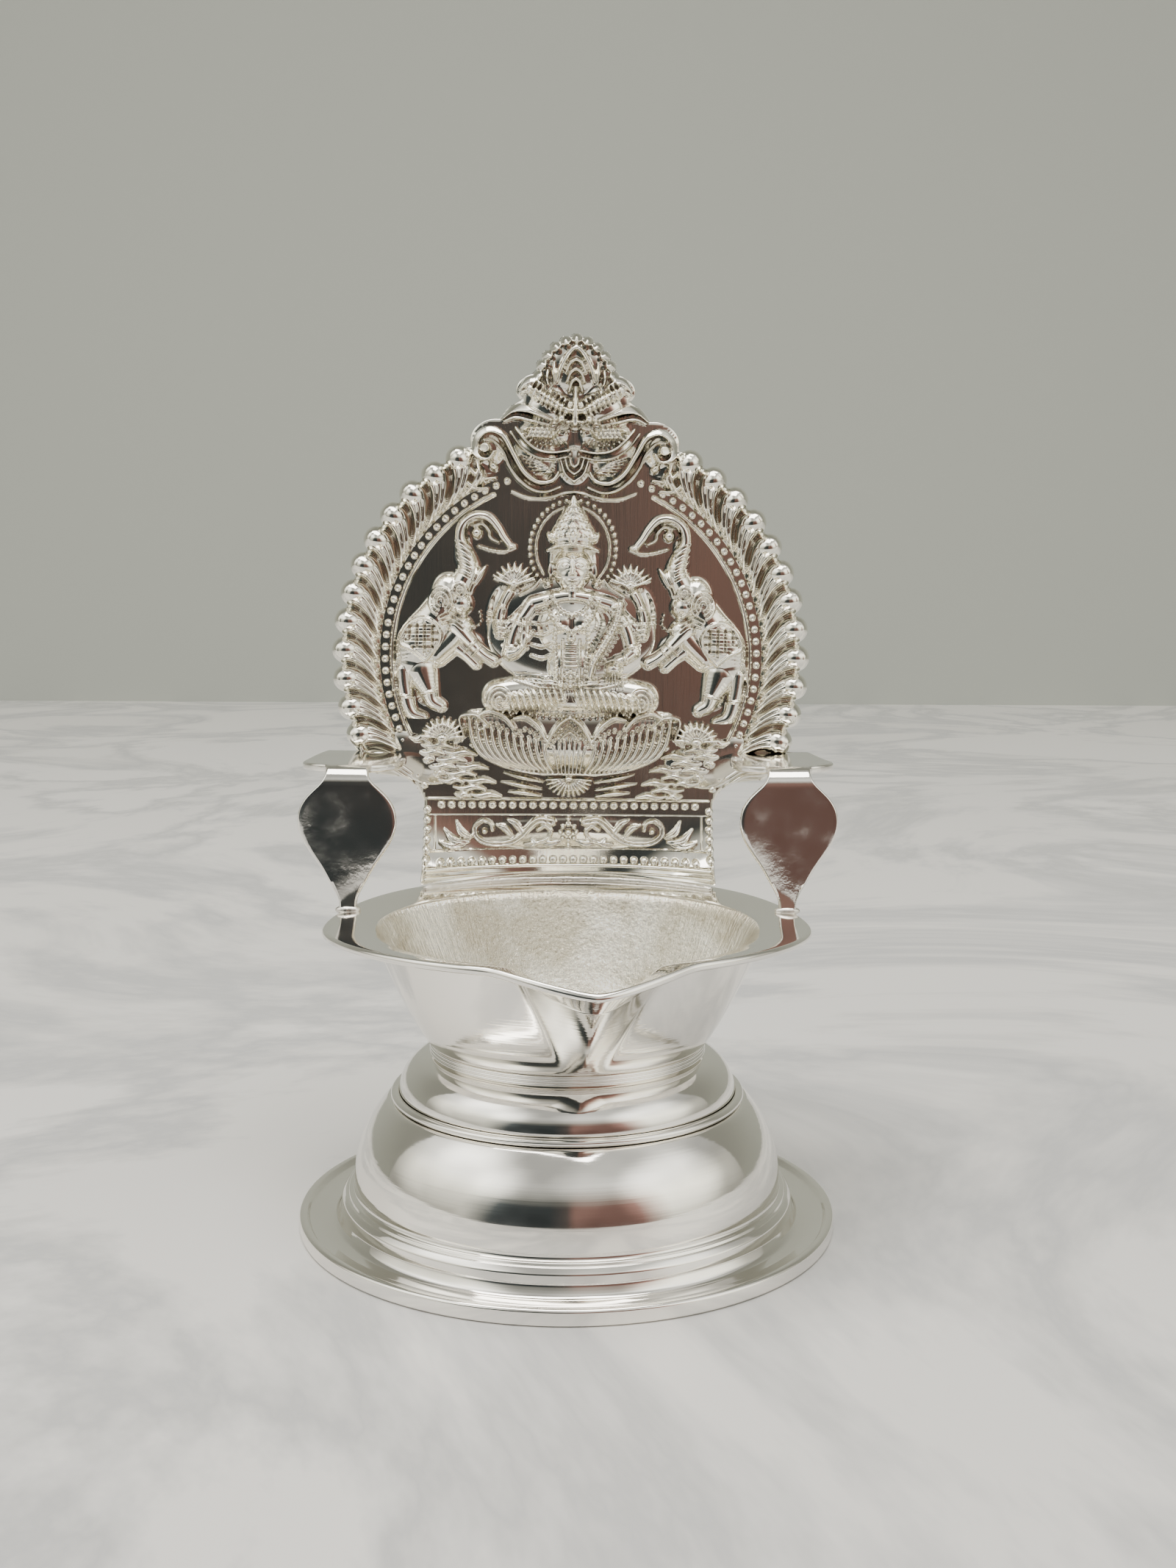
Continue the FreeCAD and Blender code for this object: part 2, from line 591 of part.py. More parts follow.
# The border's lobes run down to just above the discs that brace the plate.
last_lobe_cosine = size("(disc_height + lobe_gap - arch_centre) / (rope_outer - lobe_radius * 0.15)")
LAST_LOBE = math.degrees(math.acos(last_lobe_cosine))
LOBE_PITCH = (LAST_LOBE - size("lobe_start")) / (size("lobe_count") - 1)
raise_band("rope_band", "rope_inner", "rope_outer", "rope_relief", LAST_LOBE + LOBE_PITCH * 0.2)
raise_band("bead_row", "bead_row_radius - bead_row_wire", "bead_row_radius + bead_row_wire", "bead_row_wire",
           LAST_LOBE + LOBE_PITCH * 0.4)
for number in range(int(size("lobe_count"))):
    for side in (-1, 1):
        raise_lobe(side, size("lobe_start") + number * LOBE_PITCH)

PAIRED_FORMS = [
    # label, distance from the middle, level, width, height, relief, spin in degrees
    ("volute", "volute_spread / 2", "volute_height", "2 * volute_radius", "2 * volute_radius",
     "rope_relief * 1.3", 0),
    ("crown_wing", "crown_wing_width * 0.27", "crown_leaf_height + crown_notch * 0.4",
     "crown_wing_width * 0.42", "crown_wing_width * 0.34", "rope_relief * 0.85", 0),
    ("scroll_belly", "volute_spread * 0.19", "volute_height - volute_radius * 0.8",
     "volute_spread * 0.34", "volute_spread * 0.27", "rope_relief * 1.1", 0),
    ("elephant_body", "elephant_spread / 2", "elephant_level",
     "elephant_height * 0.62", "elephant_height", "elephant_relief", 10),
    ("elephant_head", "head_spread / 2", "elephant_level + elephant_height * 0.48",
     "elephant_height * 0.44", "elephant_height * 0.5", "elephant_relief * 1.15", 0),
    ("elephant_legs", "elephant_spread * 0.44", "elephant_level - elephant_height * 0.6",
     "elephant_height * 0.5", "elephant_height * 0.7", "elephant_relief * 0.8", -18),
    ("figure_arm", "seat_width * 0.22", "seat_base + seat_height + body_height / 3",
     "body_height * 0.32", "body_height * 0.95", "figure_relief * 0.68", -12),
]
MIDDLE_FORMS = [
    # label, level, width, height, relief
    ("crown_head", "crown_head_height + crown_head_length * 0.07", "crown_head_width * 0.83",
     "crown_head_length * 1.6", "rope_relief * 0.95"),
    ("lotus_throne", "throne_base + throne_height / 2", "throne_width", "throne_height",
     "figure_relief * 0.82"),
    ("figure_legs", "seat_base + seat_height * 0.4", "seat_width", "seat_height * 1.15", "figure_relief"),
    ("figure_body", "seat_base + seat_height * 0.4 + body_height * 0.55", "body_height * 0.72",
     "body_height * 1.1", "figure_relief * 0.94"),
    ("figure_head", "head_height", "head_radius * 1.6", "2 * head_radius", "figure_relief * 0.91"),
    ("figure_crown", "head_height + head_radius * 1.6", "head_radius * 1.4", "head_radius * 2.4",
     "figure_relief * 0.76"),
    ("nimbus", "head_height + head_radius * 0.2", "nimbus_radius * 1.9", "nimbus_radius * 2",
     "figure_relief * 0.26"),
]
for label, across, level, width, height, relief, spin in PAIRED_FORMS:
    for side in (-1, 1):
        raise_oval(label, side, across, level, width, height, relief, spin)
for label, level, width, height, relief in MIDDLE_FORMS:
    raise_oval(label, 1, "0", level, width, height, relief, 0)

panel_beads = doc.addObject("Part::Box", "panel_beads")
panel_beads.setExpression("Length", bound("panel_width - 2 * bead_row_wire"))
panel_beads.setExpression("Width", bound("plate_wall * 0.3 + bead_row_wire"))
panel_beads.setExpression("Height", bound("2 * bead_row_wire"))
panel_beads.Placement = Placement(Vector(-size("panel_width / 2 - bead_row_wire"),
                                         size("plate_front - bead_row_wire"),
                                         size("panel_top - 1.8 * bead_row_wire")), Rotation())
raised_forms["panel_beads"] = [panel_beads]

back_plate = doc.addObject("Part::MultiFuse", "bare_plate")
back_plate.Shapes = [arch_sheet, foot_panel]
back_plate.Refine = False
for label, forms in raised_forms.items():
    richer_plate = doc.addObject("Part::MultiFuse", "plate_with_" + label)
    richer_plate.Shapes = [back_plate] + forms
    richer_plate.Refine = False
    back_plate = richer_plate
back_plate.Label = "back_plate"
doc.recompute()


# ---------------------------------------------------------------- side straps
# Each is one strip: a narrow foot on the rim, a spade-shaped blade, a quarter bend and a flat disc that
# reaches back to the plate.

def strap(label, side):
    body = new_body(label)
    middle = "0 + strap_spread / 2" if side > 0 else "0 - strap_spread / 2"

    def across(formula, sign):
        return "%s %s (%s)" % (middle, "+" if sign > 0 else "-", formula)

    blade = new_sketch(body, label + "_blade", "XZ_Plane", offset="0 - strap_front - sheet_wall")
    flank = "strap_neck_width / 2 + (blade_width - strap_neck_width) * 0.37"
    flank_level = "strap_neck_height + blade_rise * 0.72"
    lower_round, upper_round = 1.3, 1.01
    draw_outline(blade, [
        (across("strap_foot_width / 2", -1), "strap_foot_height"),
        (across("strap_foot_width / 2", 1), "strap_foot_height"),
        (across("strap_neck_width / 2", 1), "strap_neck_height"),
        (across(flank, 1), flank_level, lower_round),
        (across("blade_width / 2", 1), "blade_middle_height", upper_round),
        (across("bend_width / 2", 1), "bend_height"),
        (across("bend_width / 2", -1), "bend_height", upper_round),
        (across("blade_width / 2", -1), "blade_middle_height", lower_round),
        (across(flank, -1), flank_level),
        (across("strap_neck_width / 2", -1), "strap_neck_height"),
    ])
    pad = body.newObject("PartDesign::Pad", label + "_blade_pad")
    pad.Profile = blade
    pad.setExpression("Length", bound("sheet_wall"))
    body.Tip = pad
    doc.recompute()
    section = new_sketch(body, label + "_bend_section", "XY_Plane", offset="bend_height")
    section.setExpression(".AttachmentOffset.Base.y", bound("strap_front + sheet_wall + bend_radius"))
    doc.recompute()
    draw_outline(section, [
        (across("bend_width / 2", -1), "0 - bend_radius - sheet_wall"),
        (across("bend_width / 2", 1), "0 - bend_radius - sheet_wall"),
        (across("bend_width / 2", 1), "0 - bend_radius"),
        (across("bend_width / 2", -1), "0 - bend_radius"),
    ])
    bend = body.newObject("PartDesign::Revolution", label + "_bend")
    bend.Profile = section
    bend.ReferenceAxis = (section, ["H_Axis"])
    bend.Angle = 90.0
    bend.Reversed = True
    body.Tip = bend
    doc.recompute()
    outline = new_sketch(body, label + "_disc", "XY_Plane", offset="disc_height - sheet_wall")
    widest = "disc_front + disc_width / 2"
    side_round = 2.26
    draw_outline(outline, [
        (across("0", 1), "disc_front", "disc_width / 2"),
        (across("disc_width / 2", 1), widest, side_round),
        (across("disc_rear_width / 2", 1), "disc_rear"),
        (across("disc_rear_width / 2", -1), "disc_rear", side_round),
        (across("disc_width / 2", -1), widest, "disc_width / 2"),
    ])
    disc = body.newObject("PartDesign::Pad", label + "_disc_pad")
    disc.Profile = outline
    disc.setExpression("Length", bound("sheet_wall"))
    body.Tip = disc
    doc.recompute()
    return body


left_side_strap = strap("left_side_strap", -1)
right_side_strap = strap("right_side_strap", 1)


# ---------------------------------------------------------------- solder seams
# Each seam is a round bead cut by the pieces it joins, so it fills the corner between them.

def seam(label, bead, neighbours):
    solid = bead
    for number, neighbour in enumerate(neighbours):
        cut = doc.addObject("Part::Cut", "%s_cut_%d" % (label, number))
        cut.Base = solid
        cut.Tool = neighbour
        solid = cut
    solid.Label = label
    return solid


foot_bead = doc.addObject("Part::Torus", "foot_bead")
foot_bead.setExpression("Radius1", bound("panel_foot_curve"))
foot_bead.setExpression("Radius2", bound("solder_bead"))
foot_reach = 0.965 * math.degrees(math.asin(size("panel_width / 2 / panel_foot_curve")))
foot_bead.Angle3 = 2 * foot_reach
foot_bead.Placement = Placement(Vector(0, size("plate_front - panel_foot_curve"), size("panel_base")),
                                Rotation(Vector(0, 0, 1), 90 - foot_reach))
plate_foot_solder = seam("plate_foot_solder", foot_bead, [oil_bowl, back_plate])

strap_solders = []
for name, side, strip in (("left", -1, left_side_strap), ("right", 1, right_side_strap)):
    drop = doc.addObject("Part::Ellipsoid", name + "_foot_drop")
    drop.setExpression("Radius1", bound("solder_bead"))
    drop.setExpression("Radius2", bound("strap_foot_width * 0.75"))
    drop.setExpression("Radius3", bound("sheet_wall * 1.2"))
    drop.Placement = Placement(Vector(side * size("strap_spread / 2"),
                                      size("strap_front + sheet_wall / 2"),
                                      size("strap_foot_height")), Rotation())
    strap_solders.append(seam(name + "_strap_foot_solder", drop, [oil_bowl, strip]))
    line = doc.addObject("Part::Cylinder", name + "_disc_line")
    line.setExpression("Radius", bound("solder_bead"))
    line.setExpression("Height", bound("disc_width * 0.6"))
    line.Placement = Placement(Vector(side * size("strap_spread / 2") - size("disc_width * 0.3"),
                                      size("plate_front"), size("disc_height - sheet_wall / 2")),
                               Rotation(Vector(0, 1, 0), 90))
    strap_solders.append(seam(name + "_disc_solder", line, [back_plate, strip]))
doc.recompute()


# ---------------------------------------------------------------- check and write

pieces = [base_shell, bead_ring, neck_shell, bowl_foot_ring, oil_bowl, back_plate,
          left_side_strap, right_side_strap, plate_foot_solder] + strap_solders

for item in doc.Objects:
    if "Invalid" in item.State or "Error" in item.State:
        raise RuntimeError("%s failed: %s" % (item.Label, item.getStatusString()))

os.makedirs("parts", exist_ok=True)
for piece in pieces:
    if piece.Shape.isNull() or not piece.Shape.isValid():
        raise RuntimeError("%s has no valid shape" % piece.Label)
    print("%-26s solids %d  volume %.1f mm3" % (piece.Label, len(piece.Shape.Solids), piece.Shape.Volume))
    piece.Shape.exportStep("parts/%s.step" % piece.Label)
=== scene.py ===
import bpy
import numpy as np
from mathutils import Matrix, Vector


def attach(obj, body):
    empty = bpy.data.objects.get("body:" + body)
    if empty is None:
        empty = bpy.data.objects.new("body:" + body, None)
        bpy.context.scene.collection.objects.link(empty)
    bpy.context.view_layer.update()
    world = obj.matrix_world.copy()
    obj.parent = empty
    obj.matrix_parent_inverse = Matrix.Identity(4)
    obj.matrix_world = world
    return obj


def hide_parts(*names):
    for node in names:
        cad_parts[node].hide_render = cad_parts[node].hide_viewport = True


# A silver altar lamp. It is put together from below: the spun pedestal, the bowl with its spout, the stamped
# back plate with all that is chased on it, the two side straps and the solder. Sizes are in millimetres.

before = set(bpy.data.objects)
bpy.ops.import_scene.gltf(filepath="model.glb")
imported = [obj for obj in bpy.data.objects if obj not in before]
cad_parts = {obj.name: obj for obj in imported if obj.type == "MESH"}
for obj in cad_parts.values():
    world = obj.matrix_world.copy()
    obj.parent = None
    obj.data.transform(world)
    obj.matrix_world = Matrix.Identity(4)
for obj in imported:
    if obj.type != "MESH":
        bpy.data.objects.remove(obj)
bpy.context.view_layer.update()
rng = np.random.default_rng(7)


# ---------------------------------------------------------------- pedestal: the base shell
# The lower half of the pedestal is one silver sheet, spun over a former: a flange with a rolled lip, a
# stepped foot and the main bulge. It is open below, polished, and shows faint lines from the lathe.

MM = 0.001


def linear(hex_colour):
    """An sRGB hex colour as the linear numbers that a shader takes: each channel is divided by 255, then by
    12.92 where it is dark, or else raised to 2.4 after adding 0.055 and dividing by 1.055."""
    channels = np.array([int(hex_colour[i:i + 2], 16) for i in (0, 2, 4)]) / 255.0
    bright = ((channels + 0.055) / 1.055) ** 2.4
    return (*np.where(channels <= 0.04045, channels / 12.92, bright), 1.0)


def node(material, kind, links=(), stops=(), **settings):
    """Adds a shader node. A setting named like one of the node's properties goes there, and any other goes to
    the input of that name (underscores for spaces). Each link is (input name, the output that feeds it). The
    stops of a ramp are (place, hex colour) or (place, number)."""
    made = material.node_tree.nodes.new(kind)
    for name, value in settings.items():
        if hasattr(made, name):
            setattr(made, name, value)
        else:
            made.inputs[name.replace("_", " ")].default_value = value
    for name, output in links:
        material.node_tree.links.new(output, made.inputs[name])
    for index, (at, value) in enumerate(stops):
        elements = made.color_ramp.elements
        element = elements[index] if index < 2 else elements.new(at)
        element.position = at
        element.color = linear(value) if isinstance(value, str) else (value, value, value, 1.0)
    return made


def new_metal(name, colour, roughness, **sockets):
    """A bare metal material: its shader and its Object coordinates, to which a finish is added."""
    material = bpy.data.materials.new(name)
    material.use_nodes = True
    material.node_tree.nodes.clear()
    shader = node(material, "ShaderNodeBsdfPrincipled", Metallic=1.0, Roughness=roughness,
                  Base_Color=linear(colour), **sockets)
    output = node(material, "ShaderNodeOutputMaterial")
    material.node_tree.links.new(shader.outputs["BSDF"], output.inputs["Surface"])
    place = node(material, "ShaderNodeTexCoord")
    return material, shader, place.outputs["Object"]


def lay_mesh(name, places, faces, material, replaced=(), normals=None):
    """Puts points in millimetres and faces of three or four points into a mesh, smooth all over, parents it
    to the body "root" and hides the imported parts that it replaces."""
    mesh = bpy.data.meshes.new(name)
    corners = faces.shape[1]
    mesh.vertices.add(len(places))
    mesh.vertices.foreach_set("co", (places * MM).astype(np.float32).ravel())
    mesh.loops.add(faces.size)
    mesh.loops.foreach_set("vertex_index", faces.astype(np.int32).ravel())
    mesh.polygons.add(len(faces))
    mesh.polygons.foreach_set("loop_start", np.arange(0, faces.size, corners, dtype=np.int32))
    mesh.update(calc_edges=True)
    mesh.validate()
    mesh.shade_smooth()
    if normals is not None:
        mesh.normals_split_custom_set_from_vertices(normals.astype(np.float32))
    made = bpy.data.objects.new(name, mesh)
    bpy.context.scene.collection.objects.link(made)
    mesh.materials.append(material)
    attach(made, "root")
    if replaced:
        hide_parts(*replaced)
    return made


def rounded_line(corners, steps):
    """A closed line through corners (x, y, radius). At each corner the line leaves its straight runs where
    a circle of that radius touches both, and follows the circle between."""
    corners = np.array(corners, float)
    here, before, after = corners[:, :2], np.roll(corners[:, :2], 1, 0), np.roll(corners[:, :2], -1, 0)
    back, ahead = before - here, after - here
    back_length = np.linalg.norm(back, axis=1)
    ahead_length = np.linalg.norm(ahead, axis=1)
    back /= back_length[:, None]
    ahead /= ahead_length[:, None]
    half_angle = np.arccos(np.clip((back * ahead).sum(1), -0.9999, 0.9999)) / 2
    reach = np.minimum(corners[:, 2] / np.tan(half_angle), 0.45 * np.minimum(back_length, ahead_length))
    radius = reach * np.tan(half_angle)
    bisector = back + ahead
    bisector /= np.maximum(np.linalg.norm(bisector, axis=1), 1e-9)[:, None]
    middle = here + bisector * (radius / np.sin(half_angle))[:, None]
    share = np.linspace(0, 1, steps)[None, :, None]
    start = (here + back * reach[:, None] - middle)[:, None, :]
    end = (here + ahead * reach[:, None] - middle)[:, None, :]
    between = start * (1 - share) + end * share
    between *= (radius[:, None] / np.maximum(np.linalg.norm(between, axis=2), 1e-9))[:, :, None]
    points = (middle[:, None, :] + between).reshape(-1, 2)
    # a corner without rounding gives the same point again, and only one is kept
    return points[np.linalg.norm(points - np.roll(points, 1, 0), axis=1) > 0.001]


def turned_piece(name, profile, replaced, around=288):
    """A piece turned about the lamp's axis: the closed profile (radius, level) at each of `around` angles,
    point (radius cos angle, radius sin angle, level). Faces join each point to the next in both ways."""
    angle = np.arange(around) * (2 * np.pi / around)
    radius, level = profile[:, 0], profile[:, 1]
    places = np.stack([radius[:, None] * np.cos(angle), radius[:, None] * np.sin(angle),
                       np.repeat(level[:, None], around, 1)], 2).reshape(-1, 3)
    row, column = np.meshgrid(np.arange(len(profile)), np.arange(around), indexing="ij")
    next_row, next_column = (row + 1) % len(profile), (column + 1) % around
    faces = np.stack([row * around + column, row * around + next_column,
                      next_row * around + next_column, next_row * around + column], 2).reshape(-1, 4)
    lay_mesh(name, places, faces, lathe_silver, [replaced])


def polished_silver():
    """Silver polished on the lathe: a mirror with fine lines round the axis and soft smears of polish."""
    material, shader, place = new_metal("lathe_polished_silver", "f3f0ea", 0.07)
    # smears of polish about 8 mm across
    smear = node(material, "ShaderNodeTexNoise", links=[("Vector", place)], Scale=120.0, Detail=3.0)
    # the lines follow the level only, one every 0.35 mm, coarser than real ones so that they show
    level = node(material, "ShaderNodeMapping", links=[("Vector", place)], Scale=(12.0, 12.0, 2800.0))
    lines = node(material, "ShaderNodeTexNoise", links=[("Vector", level.outputs["Vector"])],
                 Scale=1.0, Detail=2.0)
    rough = node(material, "ShaderNodeValToRGB", links=[("Fac", smear.outputs["Fac"])],
                 stops=[(0.35, 0.045), (0.7, 0.12)])
    material.node_tree.links.new(rough.outputs["Color"], shader.inputs["Roughness"])
    dents = node(material, "ShaderNodeBump", links=[("Height", smear.outputs["Fac"])], Strength=0.05,
                 Distance=0.0004)
    bump = node(material, "ShaderNodeBump", links=[("Height", lines.outputs["Fac"]),
                                                   ("Normal", dents.outputs["Normal"])],
                Strength=0.06, Distance=0.0001)
    material.node_tree.links.new(bump.outputs["Normal"], shader.inputs["Normal"])
    return material


lathe_silver = polished_silver()

# the main bulge is an arc of this radius between two points (radius, level)
bulge_curve = 14.0
bulge_low, bulge_high = np.array([27.0, 5.1]), np.array([22.7, 16.1])


def arc_points(start, end, radius, steps):
    """Corners (x, y, no rounding) along a circle's arc from start to end that bulges to the right of the way.
    The centre lies on the chord's perpendicular, sqrt(radius^2 - (chord / 2)^2) from its middle."""
    chord = end - start
    length = np.linalg.norm(chord)
    normal = np.array([-chord[1], chord[0]]) / length
    centre = (start + end) / 2 + normal * np.sqrt(radius ** 2 - length ** 2 / 4)
    first, last = (np.arctan2(*(point - centre)[::-1]) for point in (start, end))
    angle = np.linspace(first, last, steps)
    points = centre + radius * np.stack([np.cos(angle), np.sin(angle)], 1)
    return np.column_stack([points, np.zeros(steps)])


# the profile's corners (radius, level, rounding): flange, lip, steps and bulge, then back along the inside
base_corners = np.vstack([
    [(33.0, 0.0, 0.15), (33.95, 0.0, 0.35), (34.0, 2.0, 0.46), (33.05, 2.0, 0.4), (32.6, 1.3, 0.5),
     (31.0, 1.08, 1.2), (29.3, 1.25, 0.9), (28.75, 2.5, 0.9), (28.6, 3.75, 0.7), (28.1, 4.4, 0.35),
     (27.85, 4.35, 0.08), (27.7, 4.72, 0.15), (27.15, 4.78, 0.15)],
    arc_points(bulge_low, bulge_high, bulge_curve, 48),
    [(22.1, 16.12, 0.2), (20.3, 16.1, 0.1), (20.3, 15.2, 0.1)],
    arc_points(bulge_low - [1.0, 0.5], bulge_high - [1.0, 1.0], bulge_curve - 1.0, 20)[::-1],
    [(27.75, 3.75, 0.4), (27.75, 0.3, 0.5), (31.6, 0.2, 0.4)],
])
turned_piece("spun_base_shell", rounded_line(base_corners, 5), "base_shell")


# ---------------------------------------------------------------- pedestal: the bead ring
# A ring of drawn silver wire, nearly round, lies in the seam between the two spun shells. It hides their
# solder.

WIRE_MIDDLE, WIRE_LEVEL, WIRE_HALF_WIDTH, WIRE_HALF_HEIGHT = 21.75, 16.66, 0.66, 0.52
wire_turn = np.linspace(0, 2 * np.pi, 24, endpoint=False)
wire_profile = np.stack([WIRE_MIDDLE + WIRE_HALF_WIDTH * np.cos(wire_turn),
                         WIRE_LEVEL + WIRE_HALF_HEIGHT * np.sin(wire_turn)], 1)
turned_piece("bead_ring_wire", wire_profile, "bead_ring")


# ---------------------------------------------------------------- pedestal: the neck shell
# The upper, smaller spun shell starts on the bead ring and draws in to the neck, where it turns up again
# in a fine edge under the bowl's foot ring.

NECK_CURVE, NECK_BORE, NECK_TOP = 4.9, 15.1, 21.95
neck_corners = np.vstack([
    arc_points(np.array([21.35, 17.1]), np.array([17.15, 21.75]), NECK_CURVE, 28),
    [(17.0, NECK_TOP, 0.1), (NECK_BORE, NECK_TOP, 0.1), (NECK_BORE, 21.0, 0.1)],
    arc_points(np.array([20.4, 17.1]), np.array([16.1, 20.9]), 4.5, 20)[::-1],
])
turned_piece("spun_neck_shell", rounded_line(neck_corners, 4), "neck_shell")


# ---------------------------------------------------------------- bowl: the foot ring
# A flat turned ring between neck and bowl. Fine lines were cut into it on the lathe, which leave three
# rounded ridges.

FOOT_RING_RADIUS, FOOT_RING_TOP, RIDGE_COUNT, RIDGE_HEIGHT = 17.28, 23.2, 3.0, 0.2
line_level = np.linspace(NECK_TOP, FOOT_RING_TOP, 40)
line_share = (line_level - line_level[0]) / (line_level[-1] - line_level[0])
line_radius = (FOOT_RING_RADIUS + RIDGE_HEIGHT * np.abs(np.sin(line_share * np.pi * RIDGE_COUNT)) ** 0.6
               - 0.22 * (line_share > 0.999))
foot_profile = np.vstack([np.stack([line_radius, line_level], 1),
                          [(NECK_BORE, FOOT_RING_TOP), (NECK_BORE, NECK_TOP)]])
turned_piece("turned_foot_ring", foot_profile, "bowl_foot_ring")


# ---------------------------------------------------------------- the oil bowl
# The bowl is raised from one sheet: a round wall, a flared rim that droops at its two side ears, and in
# front a V-shaped keel that is drawn out into the spout, where the wick lies. The inside is left whitened
# and rough from the acid bath, with scratches from the oil spoon, and the rim is polished.

SHEET = 1.0
BOWL_FOOT, BOWL_MOUTH, BOWL_DEPTH = 17.3, 24.6, 14.5
BOWL_UNDERSIDE = FOOT_RING_TOP
RIM_SIDE, RIM_FRONT, EAR_DROOP = 30.9, 29.0, 0.9
SPOUT_REACH, SPOUT_DROP, SPOUT_SIDEWAYS, SPOUT_HALF_ANGLE = 33.7, 1.7, 6.0, 23.0
WALL_SHARE, WALL_SWELL, KEEL_ROUNDING = 0.8, 0.84, 0.012


def bowl_profile(way, turn):
    """Radius and level of the bowl's outer face. `way` runs from the foot (0) over the wall (0.8) to the
    rim's edge (1), and `turn` is the angle from the spout in degrees. The wall's radius grows with the 0.84th
    power of its height. The rim flares with a sine, and two bell curves narrow it in front and let its ears
    droop. The keel is a straight line from the foot to the spout's tip, blended in by a rounded V."""
    share = np.clip(way / WALL_SHARE, 0, 1)
    wall_radius = BOWL_FOOT + (BOWL_MOUTH - BOWL_FOOT) * share ** WALL_SWELL
    wall_level = (BOWL_DEPTH - EAR_DROOP) * share
    rim = np.clip((way - WALL_SHARE) / (1 - WALL_SHARE), 0, 1)
    front = np.exp(-(turn / 60.0) ** 2)
    edge = RIM_SIDE * (1 - front) + RIM_FRONT * front
    heading = (turn + SPOUT_SIDEWAYS) % 360.0 - 180.0
    ear = np.exp(-((np.abs(heading) - 84.0) / 26.0) ** 2)
    radius = np.where(way <= WALL_SHARE, wall_radius, BOWL_MOUTH + (edge - BOWL_MOUTH) * rim)
    level = np.where(way <= WALL_SHARE, wall_level,
                     BOWL_DEPTH - EAR_DROOP + EAR_DROOP * np.sin(rim * np.pi / 2) - EAR_DROOP * ear * rim)
    width = SPOUT_HALF_ANGLE * (0.32 + 0.68 * way)
    number = 1.0 - np.sqrt((turn / width) ** 2 + KEEL_ROUNDING)
    keel = np.minimum(0.5 * (number + np.sqrt(number * number + KEEL_ROUNDING)), 1.0)
    keel_radius = BOWL_FOOT + (SPOUT_REACH - BOWL_FOOT) * way
    keel_level = (BOWL_DEPTH - SPOUT_DROP) * way
    return radius + (keel_radius - radius) * keel, level + (keel_level - level) * keel


def bowl_places(way, turn, inward):
    """Points of the bowl `inward` millimetres inside its outer face, square to the profile."""
    step = 0.01
    low_radius, low_level = bowl_profile(np.maximum(way - step, 0), turn)
    high_radius, high_level = bowl_profile(np.minimum(way + step, 1), turn)
    length = np.hypot(high_radius - low_radius, high_level - low_level)
    radius, level = bowl_profile(way, turn)
    radius = radius - inward * (high_level - low_level) / length
    level = level + inward * (high_radius - low_radius) / length
    angle = np.radians(turn - 90.0 + SPOUT_SIDEWAYS)
    return np.stack([radius * np.cos(angle), radius * np.sin(angle), BOWL_UNDERSIDE + level], -1)


def whitened_silver():
    """Silver left white and rough inside the bowl: tiny pits and scratches that run from the floor to the
    rim. The scratches are noise on (angle round the axis, distance from it), stretched along the distance."""
    material, shader, place = new_metal("whitened_bowl_silver", "f1eee3", 0.3)
    apart = node(material, "ShaderNodeSeparateXYZ", links=[("Vector", place)])
    angle = node(material, "ShaderNodeMath", operation="ARCTAN2",
                 links=[(0, apart.outputs["Y"]), (1, apart.outputs["X"])])
    reach = node(material, "ShaderNodeVectorMath", operation="LENGTH", links=[(0, place)])
    polar = node(material, "ShaderNodeCombineXYZ",
                 links=[("X", angle.outputs["Value"]), ("Y", reach.outputs["Value"])])
    # one scratch every 1.5 degrees, about 6 mm long
    stretched = node(material, "ShaderNodeMapping", links=[("Vector", polar.outputs["Vector"])],
                     Scale=(38.0, 160.0, 1.0))
    scratches = node(material, "ShaderNodeTexNoise", links=[("Vector", stretched.outputs["Vector"])],
                     Scale=1.0, Detail=5.0, Roughness=0.7)
    # pits about 0.6 mm apart, coarser than real ones so that they show
    pits = node(material, "ShaderNodeTexNoise", links=[("Vector", place)], Scale=1700.0, Detail=4.0)
    rough = node(material, "ShaderNodeValToRGB", links=[("Fac", scratches.outputs["Fac"])],
                 stops=[(0.3, 0.09), (0.7, 0.24)])
    material.node_tree.links.new(rough.outputs["Color"], shader.inputs["Roughness"])
    # the acid took unevenly: blotches of 6 to 10 mm, a little darker and warmer
    blotches = node(material, "ShaderNodeTexNoise", links=[("Vector", place)], Scale=110.0, Detail=4.0,
                    Distortion=0.6)
    blotch_tint = node(material, "ShaderNodeValToRGB", links=[("Fac", blotches.outputs["Fac"])],
                       stops=[(0.38, "cfc8b6"), (0.6, "f1eee3")])
    material.node_tree.links.new(blotch_tint.outputs["Color"], shader.inputs["Base Color"])
    pitted = node(material, "ShaderNodeBump", links=[("Height", pits.outputs["Fac"])], Strength=0.8,
                  Distance=0.0002)
    bump = node(material, "ShaderNodeBump", links=[("Height", scratches.outputs["Fac"]),
                                                   ("Normal", pitted.outputs["Normal"])],
                Strength=0.6, Distance=0.0006)
    material.node_tree.links.new(bump.outputs["Normal"], shader.inputs["Normal"])
    return material


